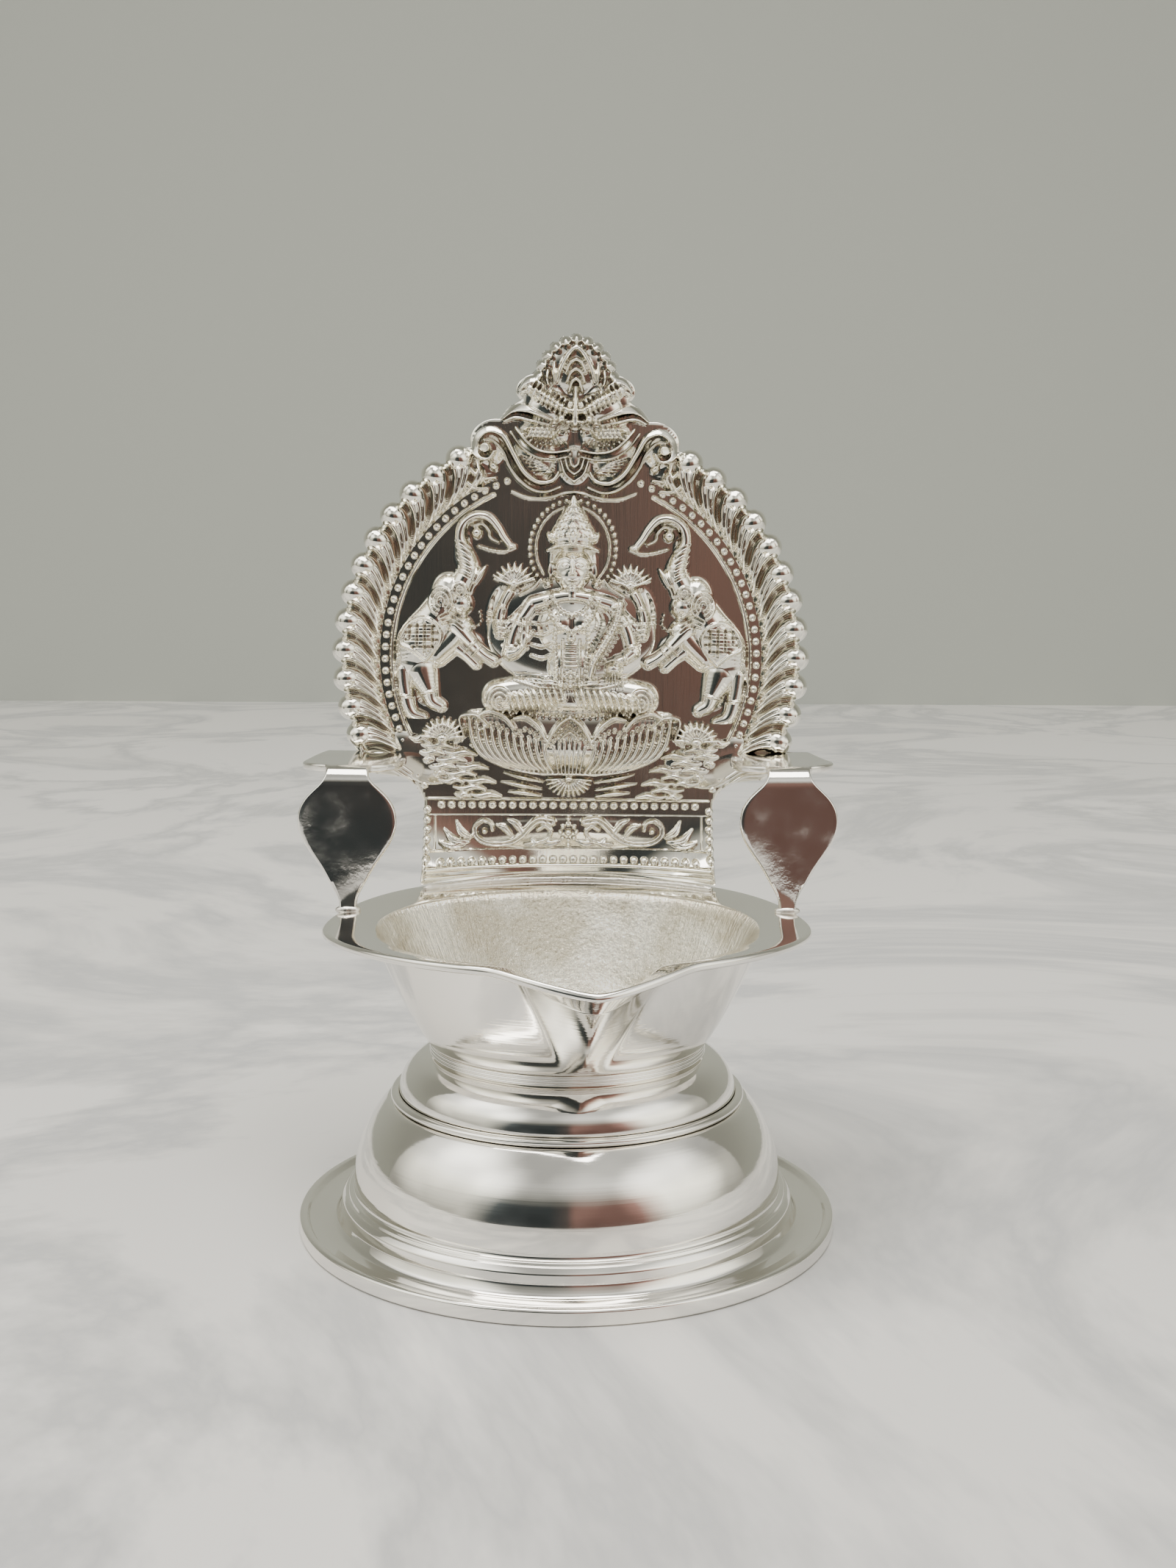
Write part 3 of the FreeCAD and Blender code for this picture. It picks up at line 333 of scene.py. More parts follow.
# columns go round the bowl, closer together at the spout; rows go up outside, over the rim and down inside
bowl_around = 432
RIM_ROWS, ROLL_START, FLOOR_DISH = 18, 0.985, 0.25
share = np.linspace(-1, 1, bowl_around, endpoint=False)
bowl_turn = 180.0 * (0.35 * share + 0.65 * share ** 3)
up_way = np.concatenate([np.linspace(0.002, WALL_SHARE, 46), np.linspace(0.81, ROLL_START, RIM_ROWS)])
edge_turn = np.linspace(-80, 80, 7)[:, None]
outside = bowl_places(up_way[:, None], bowl_turn, 0.0)
inside = bowl_places(up_way[::-1, None], bowl_turn, SHEET)
rim_low = bowl_places(np.full((1, 1), ROLL_START), bowl_turn, 0.0)
rim_high = bowl_places(np.full((1, 1), ROLL_START), bowl_turn, SHEET)
rim_out = bowl_places(np.full((1, 1), 1.0), bowl_turn, SHEET / 2)
swing = np.radians(edge_turn)[:, :, None]
rim_middle = (rim_low + rim_high) / 2
rim_edge = rim_middle + (rim_out - rim_middle) * np.cos(swing) + (rim_high - rim_low) / 2 * np.sin(swing)
floor_level = BOWL_UNDERSIDE + SHEET
inside[..., 2] = np.maximum(inside[..., 2], floor_level)
foot_radius = np.linspace(1.0, 0.0, 12)[1:, None] ** 0.9
drawn_in = np.concatenate([foot_radius, foot_radius, np.ones_like(foot_radius)], 1)
floor_rows = inside[-1][None] * drawn_in[:, None, :]
floor_rows[..., 2] = floor_level - FLOOR_DISH * (1 - foot_radius) ** 0.7
under_rows = outside[0][None] * drawn_in[::-1, None, :]
bowl_rows = np.concatenate([under_rows[1:], outside, rim_edge, inside, floor_rows[:-1]])
row_count = len(bowl_rows)
row, column = np.meshgrid(np.arange(row_count - 1), np.arange(bowl_around), indexing="ij")
next_column = (column + 1) % bowl_around
bowl_faces = np.stack([row * bowl_around + column, row * bowl_around + next_column,
                       (row + 1) * bowl_around + next_column, (row + 1) * bowl_around + column], 2)
# the rim is polished, and the white finish starts where the wall does
white_from = len(under_rows) - 1 + len(outside) + len(rim_edge) + RIM_ROWS
finish = (row >= white_from).astype(np.int32)
# the two middle points close the floor and the underside
middles = np.array([[0, 0, BOWL_UNDERSIDE], [0, 0, floor_level - FLOOR_DISH]])
lone = np.arange(bowl_around)
first_middle, last_middle = row_count * bowl_around, row_count * bowl_around + 1
under_fan = np.stack([np.full(bowl_around, first_middle), (lone + 1) % bowl_around, lone], 1)
floor_start = (row_count - 1) * bowl_around
floor_fan = np.stack([np.full(bowl_around, last_middle), floor_start + lone,
                      floor_start + (lone + 1) % bowl_around], 1)
bowl_quads = bowl_faces.reshape(-1, 4)
bowl_triangles = np.concatenate([bowl_quads[:, [0, 1, 2]], bowl_quads[:, [0, 2, 3]], under_fan, floor_fan])
bowl_finish = np.concatenate([finish.ravel(), finish.ravel(), np.zeros(bowl_around, np.int32),
                              np.ones(bowl_around, np.int32)])
oil_bowl = lay_mesh("raised_oil_bowl", np.concatenate([bowl_rows.reshape(-1, 3), middles]), bowl_triangles,
                    lathe_silver, ["oil_bowl"])
oil_bowl.data.materials.append(whitened_silver())
oil_bowl.data.polygons.foreach_set("material_index", bowl_finish)


# ---------------------------------------------------------------- back plate: the stamped sheet
# One sheet of silver, stamped over a steel die, so its back is hollow behind every raised form. Its foot is
# bent to the round of the bowl's rim. All of the plate is drawn flat, in millimetres across and level, and
# `on_plate` bends it into place.

PLATE_FRONT, PLATE_WALL = 28.6, 1.2
PANEL_HALF, PANEL_BASE, PANEL_TOP = 20.5, 39.05, 49.8
PANEL_CURVE = 30.2
ARCH_LEVEL, ROPE_MIDDLE, LOBE_ROUND, ROPE_INSIDE = 70.2, 31.6, 1.9, 24.75
LOBE_START, LOBE_PITCH, LOBE_COUNT, LOBE_VALLEY = 30.4, 7.3, 12, 32.3
BOW_LIMIT, BOW_FADE = 27.0, 3.56
LEAN, LEAN_BLEND = np.radians(0.8), 6.0


def on_plate(across, level, out):
    """Places of plate points in space. `out` is the distance in front of the sheet. The foot is bent: its
    sides stand in front of its middle by the bow of a circle of radius PANEL_CURVE, and the bow dies away
    upwards. Above the panel the plate leans to the right, turned about the middle of the panel's upper
    edge."""
    bow = PANEL_CURVE - np.sqrt(PANEL_CURVE ** 2 - np.minimum(np.abs(across), BOW_LIMIT) ** 2)
    bow = bow * np.exp(-(level - PANEL_BASE) / BOW_FADE)
    lean = LEAN * np.clip((level - PANEL_TOP) / LEAN_BLEND + 0.5, 0, 1)
    height = level - PANEL_TOP
    return np.stack([across * np.cos(lean) + height * np.sin(lean), PLATE_FRONT - out - bow,
                     PANEL_TOP - across * np.sin(lean) + height * np.cos(lean)], -1)


def smooth_way(points, steps=8):
    """A smooth line through points: between two of them, the Catmull-Rom cubic of the four around."""
    points = np.array(points, float)
    padded = np.vstack([2 * points[0] - points[1], points, 2 * points[-1] - points[-2]])
    before, start, end, after = padded[:-3], padded[1:-2], padded[2:-1], padded[3:]
    t = np.linspace(0, 1, steps, endpoint=False)[None, :, None]
    before, start, end, after = (part[:, None, :] for part in (before, start, end, after))
    curve = 0.5 * (2 * start + (end - before) * t + (2 * before - 5 * start + 4 * end - after) * t ** 2
                   + (3 * start - 3 * end + after - before) * t ** 3)
    return np.vstack([curve.reshape(-1, points.shape[1]), points[-1]])


def rope_edge(angle):
    """The arch's outer radius at an angle from its top, in degrees: the outside of a row of circles of radius
    LOBE_ROUND whose middles lie ROPE_MIDDLE from the arch's centre, and never less than LOBE_VALLEY."""
    nearest = np.clip(np.round((np.abs(angle) - LOBE_START) / LOBE_PITCH), 0, LOBE_COUNT - 1)
    off = np.radians(np.abs(angle) - LOBE_START - nearest * LOBE_PITCH)
    inside = LOBE_ROUND ** 2 - (ROPE_MIDDLE * np.sin(off)) ** 2
    return np.maximum(ROPE_MIDDLE * np.cos(off) + np.sqrt(np.maximum(inside, 0)), LOBE_VALLEY)


# the beads round the crown's headdress, from its side up to its tip, make the outline there
CROWN_BEADS = np.array([(5.2, 109.05), (4.7, 110.5), (3.9, 111.8), (2.85, 112.95), (1.5, 113.75),
                        (0.0, 114.15)])
CROWN_BEAD = 0.8


def beaded_edge(middles, radius, steps=10):
    """Outer side of a row of circles: at a distance d from the nearest middle along the row, the line lies
    sqrt(radius^2 - d^2) to the right of it, and never less than 0.25 mm."""
    along = np.diff(middles, axis=0)[:, None]
    length = np.linalg.norm(along, axis=2, keepdims=True)
    outward = np.stack([along[..., 1], -along[..., 0]], 2) / length
    part = np.linspace(0, 1, steps, endpoint=False)[None, :, None]
    near = np.minimum(part, 1 - part) * length
    rise = np.maximum(np.sqrt(np.maximum(radius ** 2 - near ** 2, 0)), 0.25)
    return (middles[:-1, None] + along * part + outward * rise).reshape(-1, 2)


# the right half of the plate's outline, from the panel's lower corner up to the crown's tip
scallop_angle = np.linspace(112.0, 27.5, 420)
scallop = np.stack([rope_edge(scallop_angle) * np.sin(np.radians(scallop_angle)),
                    ARCH_LEVEL + rope_edge(scallop_angle) * np.cos(np.radians(scallop_angle))], 1)
half_outline = np.vstack([
    [(PANEL_HALF, PANEL_BASE), (PANEL_HALF, 49.6)],
    smooth_way([(20.7, 50.1), (21.6, 51.7), (23.6, 52.9), (27.8, 53.4)]),
    scallop,
    smooth_way([(14.5, 99.2), (14.5, 100.6), (14.0, 101.7), (13.0, 102.6), (11.6, 103.1), (10.3, 103.15)]),
    smooth_way([(9.9, 103.7), (9.1, 104.7), (8.0, 105.5)], 4),
    smooth_way([(7.6, 105.75), (8.2, 106.6), (8.25, 107.4), (7.8, 108.3), (6.9, 109.0), (6.1, 109.3)], 5),
    beaded_edge(CROWN_BEADS, CROWN_BEAD),
    [(0.0, 114.95)],
])
outline = np.vstack([half_outline, (half_outline * [-1, 1])[-2::-1]])


def dense_line(points, spacing):
    """Points at an even spacing along a closed line of straight runs, by the length from its start."""
    closed = np.vstack([points, points[:1]])
    length = np.concatenate([[0], np.cumsum(np.linalg.norm(np.diff(closed, axis=0), axis=1))])
    at = np.arange(0, length[-1], spacing)
    return np.stack([np.interp(at, length, closed[:, axis]) for axis in (0, 1)], 1)


outline_dots = dense_line(outline, 0.06)


def within_outline(across, level):
    """True for points inside the outline: a ray to the right crosses it an odd number of times."""
    start, end = outline, np.roll(outline, -1, 0)
    inside = np.zeros(across.shape, bool)
    for part in np.array_split(np.arange(len(start)), 12):
        low, high = start[part, 1], end[part, 1]
        spans = (low > level[..., None]) != (high > level[..., None])
        slope = (end[part, 0] - start[part, 0]) / np.where(high == low, 1e-9, high - low)
        crossing = start[part, 0] + (level[..., None] - low) * slope
        inside ^= (np.sum(spans & (across[..., None] < crossing), -1) % 2).astype(bool)
    return inside


def edge_distance(across, level):
    """Distance to the outline, less than nothing outside it, from the nearest of the outline's dots."""
    flat = np.stack([across.ravel(), level.ravel()], 1)
    near = outline_dots[(outline_dots[:, 1] > level.min() - 3) & (outline_dots[:, 1] < level.max() + 3)]
    distance = np.concatenate([
        np.sqrt(((part[:, None, :] - near[None]) ** 2).sum(2).min(1)) for part in np.array_split(flat, 60)])
    inside = within_outline(across, level)
    return np.where(inside, 1, -1) * distance.reshape(across.shape)


def dome_height(across, level, middle, width, height, tall, power=1.0):
    """Height of a smooth oval swelling: tall * (1 - distance^2)^power, distance 1 on the oval's edge."""
    distance = ((across - middle[0]) / width) ** 2 + ((level - middle[1]) / height) ** 2
    return tall * np.maximum(1 - distance, 0) ** power


# The sheet itself swells softly under each raised form: middle, half width, half height, height.
SWELLINGS = [
    ((0, 110.2), 4.2, 3.6, 0.9), ((4.6, 106.0), 3.2, 2.4, 0.9), ((4.2, 101.4), 3.4, 2.2, 1.0),
    ((5.6, 97.6), 3.0, 3.6, 1.0), ((11.9, 99.3), 2.3, 2.6, 1.1), ((0, 97.0), 2.2, 2.6, 0.7),
    ((0, 83.4), 3.2, 4.6, 1.3), ((0, 73.5), 4.6, 6.6, 2.0), ((0, 64.3), 10.6, 3.0, 2.0),
    ((0, 57.6), 12.6, 3.4, 1.7), ((9.6, 75.6), 2.2, 4.6, 1.0), ((20.8, 72.0), 3.2, 3.6, 1.2),
    ((17.2, 78.8), 2.4, 2.7, 1.3), ((20.4, 65.8), 1.4, 2.4, 0.7), ((14.0, 71.8), 1.5, 1.5, 0.8),
    ((15.3, 85.0), 1.0, 2.6, 0.6), ((0, 45.4), 14.0, 2.2, 0.35),
]
# the round swelling under the border: its middle's radius, half width and height
RING_MIDDLE, RING_HALF, RING_HEIGHT = 29.9, 2.1, 0.5


def sheet_swelling(across, level):
    """Height of the sheet's front face: the highest of its oval swellings and the ring under the border."""
    side = np.abs(across)
    swell = np.zeros(np.shape(across))
    for middle, width, height, tall in SWELLINGS:
        swell = np.maximum(swell, dome_height(side, level, middle, width, height, tall, 0.75))
    reach = np.hypot(across, level - ARCH_LEVEL)
    angle = np.degrees(np.arctan2(side, level - ARCH_LEVEL))
    ring = np.clip(1 - ((reach - RING_MIDDLE) / RING_HALF) ** 2, 0, 1) * np.clip((112 - angle) / 4, 0, 1)
    return np.maximum(swell, RING_HEIGHT * np.sqrt(ring) * np.clip((angle - 22) / 5, 0, 1))


def grid_faces(kept):
    """Faces of a grid of points where `kept` is true, as numbers of its points, row by row."""
    rows, columns = np.nonzero(kept)
    corner = rows * (kept.shape[1] + 1) + columns
    return np.stack([corner, corner + 1, corner + kept.shape[1] + 2, corner + kept.shape[1] + 1], 1)


def border_edges(faces):
    """The edges that only one face uses, in that face's direction."""
    edges = np.stack([faces, np.roll(faces, -1, 1)], 2).reshape(-1, 2)
    key = np.sort(edges, 1)
    _, first, count = np.unique(key[:, 0].astype(np.int64) * (faces.max() + 1) + key[:, 1],
                                return_index=True, return_counts=True)
    return edges[first[count == 1]]


def tidied(places, faces):
    """Drops the points that no face uses and numbers the rest again."""
    used, numbers = np.unique(faces, return_inverse=True)
    return places[used], numbers.reshape(faces.shape)


def stamped_silver(name, brush):
    """Stamped silver with the die's polish. The flat ground was brushed by hand, up and down, by the given
    strength of bump, and the raised forms are smooth and only a little dull."""
    material, shader, place = new_metal(name, "f1eee3", 0.1)
    # cloudy patches about 6 mm across
    cloud = node(material, "ShaderNodeTexNoise", links=[("Vector", place)], Scale=160.0, Detail=3.0)
    rough = node(material, "ShaderNodeValToRGB", links=[("Fac", cloud.outputs["Fac"])],
                 stops=[(0.35, 0.08), (0.7, 0.15)])
    material.node_tree.links.new(rough.outputs["Color"], shader.inputs["Roughness"])
    if brush:
        # brush marks about 0.4 mm apart across and 8 mm long, drawn coarser than real ones so that they show
        stretched = node(material, "ShaderNodeMapping", links=[("Vector", place)],
                         Scale=(2400.0, 120.0, 120.0))
        brushed = node(material, "ShaderNodeTexNoise", links=[("Vector", stretched.outputs["Vector"])],
                       Scale=1.0, Detail=4.0, Roughness=0.6)
        bump = node(material, "ShaderNodeBump", links=[("Height", brushed.outputs["Fac"])], Strength=brush,
                    Distance=0.0001)
        material.node_tree.links.new(bump.outputs["Normal"], shader.inputs["Normal"])
    return material


brushed_ground = stamped_silver("stamped_and_brushed_silver", 0.08)
stamped = stamped_silver("stamped_silver_relief", 0.0)

# The sheet is a grid with its border points moved onto the outline. Front and back have a small rounding.
SHEET_STEP, EDGE_INSET, EDGE_DROP = 0.3, 0.12, 0.14
sheet_across, sheet_level = np.meshgrid(np.arange(-33.8, 33.9, SHEET_STEP),
                                        np.arange(PANEL_BASE - 0.1, 115, SHEET_STEP))
points_inside = within_outline(sheet_across, sheet_level)
kept = (points_inside[:-1, :-1] & points_inside[:-1, 1:] & points_inside[1:, :-1] & points_inside[1:, 1:])
flat_faces = grid_faces(kept)
flat, flat_faces = tidied(np.stack([sheet_across.ravel(), sheet_level.ravel()], 1), flat_faces)
rim_edges = border_edges(flat_faces)
rim_points = np.unique(rim_edges)
nearest = np.concatenate([np.argmin(((part[:, None, :] - outline_dots[None]) ** 2).sum(2), 1)
                          for part in np.array_split(flat[rim_points], 20)])
on_edge = outline_dots[nearest]
tangent = outline_dots[(nearest + 3) % len(outline_dots)] - outline_dots[nearest - 3]
inward = np.stack([-tangent[:, 1], tangent[:, 0]], 1)
inward /= np.maximum(np.linalg.norm(tangent, axis=1), 1e-9)[:, None]
flat[rim_points] = on_edge + inward * EDGE_INSET
front_height = sheet_swelling(flat[:, 0], flat[:, 1])
front_height[rim_points] = 0.0
front_places = on_plate(flat[:, 0], flat[:, 1], front_height)
back_places = on_plate(flat[:, 0], flat[:, 1], front_height - PLATE_WALL)
upper_ring = on_plate(on_edge[:, 0], on_edge[:, 1], np.full(len(on_edge), -EDGE_DROP))
lower_ring = on_plate(on_edge[:, 0], on_edge[:, 1], np.full(len(on_edge), EDGE_DROP - PLATE_WALL))
count = len(flat)
ring_number = np.full(count, -1)
ring_number[rim_points] = np.arange(len(rim_points))
start, end = rim_edges[:, 0], rim_edges[:, 1]
levels = [(start, end), (2 * count + ring_number[start], 2 * count + ring_number[end]),
          (2 * count + len(rim_points) + ring_number[start], 2 * count + len(rim_points) + ring_number[end]),
          (count + start, count + end)]
walls = [np.stack([high[1], high[0], low[0], low[1]], 1) for high, low in zip(levels[:-1], levels[1:])]
sheet_faces = np.vstack([flat_faces, flat_faces[:, ::-1] + count] + walls)
lay_mesh("stamped_back_plate", np.vstack([front_places, back_places, upper_ring, lower_ring]), sheet_faces,
         brushed_ground, ["back_plate"])


# ---------------------------------------------------------------- back plate: the gadrooned border
# The arch's border is a rope of lobes, struck with the plate. Each lobe ends outside in a ball, and one
# swelling flute with two shallow grooves sweeps from it inwards and down to the row of beads.

SWEEP_DEGREES, SWEEP_DEPTH, SWEEP_BEND = 9.0, 5.0, 2.2


def rope_height(angle, reach):
    """Height of the border at an angle from the arch's top (degrees) and a radius (mm). Each lobe is a ball
    with one swelling flute behind it, tall * (1 - |off|^2.4), off 1 on its edges, that drifts towards the
    foot by 9 degrees times (depth inwards / 5 mm)^2.2 and carries two shallow grooves. Inside the border
    runs a channel for the row of beads, closed by a fine ridge."""
    inward_share = np.clip((ROPE_MIDDLE - reach) / SWEEP_DEPTH, 0, 1)
    drifted = angle - SWEEP_DEGREES * inward_share ** SWEEP_BEND
    phase = (drifted - LOBE_START) / LOBE_PITCH + 0.5
    off = 2 * (phase - np.floor(phase)) - 1
    flute = 2.1 * (1 - np.abs(off) ** 2.4)
    grooved = np.clip((30.9 - reach) / 1.6, 0, 1)
    for middle, deep in ((-0.3, 0.45), (0.22, 0.5)):
        flute -= deep * grooved * np.exp(-((off - middle) / 0.11) ** 2)
    flute = (0.9 + flute) * (1.0 - 0.25 * inward_share)
    outer_fall = np.clip((rope_edge(angle) - reach) / 1.2, 0, 1)
    inner_fall = np.clip((reach - 26.9) / 1.1, 0, 1)
    flute *= np.sqrt(1 - (1 - inner_fall) ** 2) * np.sqrt(1 - (1 - outer_fall) ** 2)
    nearest = np.clip(np.round((angle - LOBE_START) / LOBE_PITCH), 0, LOBE_COUNT - 1)
    off_along = np.radians(angle - LOBE_START - nearest * LOBE_PITCH) * ROPE_MIDDLE
    ball = 3.3 * np.sqrt(np.maximum(1 - (off_along / 2.0) ** 2 - ((reach - 31.4) / 2.2) ** 2, 0))
    ridge = 0.62 * np.sqrt(np.maximum(1 - ((reach - 25.15) / 0.34) ** 2, 0))
    channel = np.where(reach < 27.2, np.maximum(ridge, 0.08), 0)
    return np.maximum(np.maximum(flute, ball), channel)


def closed_relief(name, across, level, height, kept):
    """A raised piece of the plate: the grid's front, an underside inside the sheet, and walls between them
    along its border. `kept` says which of the grid's faces belong to it. The normals come from the grid's
    slopes, so that the piece looks smooth right up to its border."""
    points = on_plate(across, level, height)
    down = np.gradient(points, axis=0)
    along = np.gradient(points, axis=1)
    normals = np.cross(along, down)
    normals /= np.maximum(np.linalg.norm(normals, axis=2), 1e-12)[..., None]
    under = on_plate(across, level, sheet_swelling(across, level) - 0.5)
    faces = grid_faces(kept)
    front, numbered = tidied(np.concatenate([points.reshape(-1, 3), under.reshape(-1, 3),
                                             normals.reshape(-1, 3)], 1), faces)
    if np.mean(normals.reshape(-1, 3)[:, 1]) > 0:
        numbered = numbered[:, ::-1]
        front[:, 6:] *= -1
    edges = border_edges(numbered)
    count = len(front)
    walls = np.stack([edges[:, 1], edges[:, 0], edges[:, 0] + count, edges[:, 1] + count], 1)
    everything = np.vstack([numbered, numbered[:, ::-1] + count, walls])
    places = np.vstack([front[:, :3], front[:, 3:6]])
    directions = np.vstack([front[:, 6:], -front[:, 6:]])
    lay_mesh(name, places, everything, stamped, normals=directions)


BORDER_START, BORDER_END, REACH_STEPS = 24.5, 120.0, 76
for side, side_name in ((-1, "left"), (1, "right")):
    rope_angle = np.linspace(BORDER_START, BORDER_END, 640)[:, None]
    reach_share = np.linspace(0, 1, REACH_STEPS)[None, :]
    reach = ROPE_INSIDE + (rope_edge(rope_angle) - 0.02 - ROPE_INSIDE) * reach_share
    angle = np.repeat(rope_angle, REACH_STEPS, 1)
    # the rope rises out of the sheet and sinks into it again within 1.5 degrees of its ends
    ends = np.clip((angle - 25.5) / 1.5, 0, 1) * np.clip((119.8 - angle) / 1.5, 0, 1)
    height = rope_height(angle, reach) * np.sqrt(ends) - 0.12
    across = side * reach * np.sin(np.radians(angle))
    level = ARCH_LEVEL + reach * np.cos(np.radians(angle))
    closed_relief("gadrooned_border_" + side_name, across, level, height,
                  np.ones((height.shape[0] - 1, height.shape[1] - 1), bool))


# ---------------------------------------------------------------- back plate: rows of beads
# A row of beads follows the border on the inside, and rows and short columns of them frame the foot panel.
# They are struck with the plate. A bead is a little more than half a ball.

def bead_row(name, middles, radius, ground, rings=4, around=12):
    """One mesh of beads: for each, rings of a ball from under its equator to near its top, (radius cos t,
    radius sin t) on the plate, at the given height over the sheet. A middle point closes each end."""
    lift = np.radians(np.linspace(-28, 78, rings))
    turn = np.linspace(0, 2 * np.pi, around, endpoint=False)
    ring_across = np.concatenate([(np.cos(lift)[:, None] * np.cos(turn)).ravel(), [0, 0]])
    ring_level = np.concatenate([(np.cos(lift)[:, None] * np.sin(turn)).ravel(), [0, 0]])
    ring_out = np.concatenate([np.repeat(np.sin(lift), around), [1.0, np.sin(lift[0])]])
    places = on_plate(middles[:, :1] + radius * ring_across, middles[:, 1:] + radius * ring_level,
                      ground + radius * ring_out)
    one = np.arange(around)
    following = (one + 1) % around
    top, bottom = rings * around, rings * around + 1
    quads = np.concatenate([np.stack([ring * around + one, ring * around + following,
                                      (ring + 1) * around + following, (ring + 1) * around + one], 1)
                            for ring in range(rings - 1)])
    last = (rings - 1) * around
    triangles = np.vstack([quads[:, [0, 1, 2]], quads[:, [0, 2, 3]],
                           np.stack([last + one, last + following, np.full(around, top)], 1),
                           np.stack([following, one, np.full(around, bottom)], 1)])
    size = len(ring_across)
    faces = (triangles[None] + (np.arange(len(middles)) * size)[:, None, None]).reshape(-1, 3)
    lay_mesh(name, places.reshape(-1, 3), faces, stamped)


BEAD_REACH, BEAD_RADIUS, BEAD_STEP = 26.15, 0.56, 3.7
bead_angle = np.radians(np.arange(20.8, 134.0, BEAD_STEP))
bead_angle = np.concatenate([-bead_angle, bead_angle])
# near the border's ends the row drifts outwards to the panel's corners
bead_reach = BEAD_REACH + 1.4 * np.clip((np.degrees(np.abs(bead_angle)) - 112) / 22, 0, 1)
arch_beads = np.stack([bead_reach * np.sin(bead_angle), ARCH_LEVEL + bead_reach * np.cos(bead_angle)], 1)
bead_row("arch_beads", arch_beads, BEAD_RADIUS, 0.1)

PANEL_BEAD, PANEL_PITCH, PANEL_COUNT = 0.62, 1.44, 26
panel_across = (np.arange(PANEL_COUNT) - (PANEL_COUNT - 1) / 2) * PANEL_PITCH
column_level = np.arange(42.0, 49.0, 1.32)
panel_beads = np.vstack([
    np.stack([panel_across, np.full(PANEL_COUNT, 49.35)], 1),
    np.stack([panel_across, np.full(PANEL_COUNT, 41.55)], 1),
    [(side * 20.0, level) for side in (-1, 1) for level in column_level]])
bead_row("panel_beads", panel_beads, PANEL_BEAD, 0.05)


# ---------------------------------------------------------------- back plate: how its raised forms are drawn
# Each raised form is a grid of heights over the sheet. Forms are laid on the grid as cords, which follow a
# smooth way of (across, level, half width, height), and as domes. Either the higher stays, or with `on`
# the new one is added to what is there, so that a height below nothing engraves a groove.

def new_relief(low, high, spacing):
    """An empty grid over a rectangle of the plate. Its heights start half a millimetre inside the sheet."""
    across, level = np.meshgrid(np.arange(low[0], high[0], spacing), np.arange(low[1], high[1], spacing))
    return {"across": across, "level": level, "height": np.full(across.shape, -0.5)}


def block_of(relief, low, high):
    """The rows and columns of the grid that lie in a rectangle."""
    columns = np.searchsorted(relief["across"][0], [low[0], high[0]])
    rows = np.searchsorted(relief["level"][:, 0], [low[1], high[1]])
    return slice(*rows), slice(*columns)


def lay(relief, block, share, tall, on, power):
    """Lays tall * (1 - share^2)^power on a block of the grid, where the share is less than one."""
    height = relief["height"][block]
    raised = tall * np.maximum(1 - share ** 2, 0) ** power
    touched = (share < 1) & (height > -0.45) if on else share < 1
    height[touched] = (height + raised)[touched] if on else np.maximum(height, raised)[touched]


def cord(relief, way, on=False, power=0.5, both=False, steps=5):
    """A cord along a smooth way. At each point of the grid the share is the least of distance / half width
    over the way's straight pieces. `both` lays it on the other side of the lamp's middle too."""
    line = smooth_way(way, steps)
    for sign in ((1, -1) if both else (1,)):
        start, end = line[:-1] * [sign, 1, 1, 1], line[1:] * [sign, 1, 1, 1]
        reach = line[:, 2].max()
        block = block_of(relief, np.minimum(start, end).min(0)[:2] - reach,
                         np.maximum(start, end).max(0)[:2] + reach)
        point = np.stack([relief["across"][block], relief["level"][block]], -1)[:, :, None, :]
        travel = end[:, :2] - start[:, :2]
        offset = point - start[:, :2]
        t = np.clip((offset * travel).sum(-1) / np.maximum((travel ** 2).sum(-1), 1e-9), 0, 1)
        distance = np.linalg.norm(offset - t[..., None] * travel, axis=-1)
        share = distance / (start[:, 2] + t * (end - start)[:, 2])
        nearest = np.argmin(share, -1)[..., None]
        tall = np.take_along_axis(start[:, 3] + t * (end - start)[:, 3], nearest, -1)[..., 0]
        lay(relief, block, np.take_along_axis(share, nearest, -1)[..., 0], tall, on, power)


def dome(relief, middle, half, tall, on=False, power=0.5, both=False, tilt=0.0):
    """An oval dome: middle, its two half widths, its height, and a tilt in degrees."""
    half = np.broadcast_to(half, 2)
    for sign in ((1, -1) if both else (1,)):
        reach = half.max()
        place = np.array([middle[0] * sign, middle[1]])
        block = block_of(relief, place - reach, place + reach)
        across, level = relief["across"][block] - place[0], relief["level"][block] - place[1]
        turn = np.radians(tilt) * sign
        share = np.hypot((across * np.cos(turn) + level * np.sin(turn)) / half[0],
                         (level * np.cos(turn) - across * np.sin(turn)) / half[1])
        lay(relief, block, share, tall, on, power)


def dots(relief, way, pitch, radius, tall, on=True, both=False):
    """A row of beads at an even pitch along a smooth way of (across, level)."""
    line = smooth_way(way, 8)
    length = np.concatenate([[0], np.cumsum(np.linalg.norm(np.diff(line, axis=0), axis=1))])
    for at in np.linspace(0, length[-1], max(int(round(length[-1] / pitch)), 1) + 1):
        middle = (np.interp(at, length, line[:, 0]), np.interp(at, length, line[:, 1]))
        dome(relief, middle, radius, tall, on, 0.5, both)


def strokes(relief, first, last, count, half, tall, on=False, both=False):
    """Straight strokes, spread evenly between a first and a last one of (start across, level, end ...)."""
    for share in np.linspace(0, 1, count):
        begin, end = (np.array(first[i]) * (1 - share) + np.array(last[i]) * share for i in (0, 1))
        cord(relief, [(*begin, half, tall), (*end, half * 0.8, tall * 0.85)], on, 0.5, both, 2)


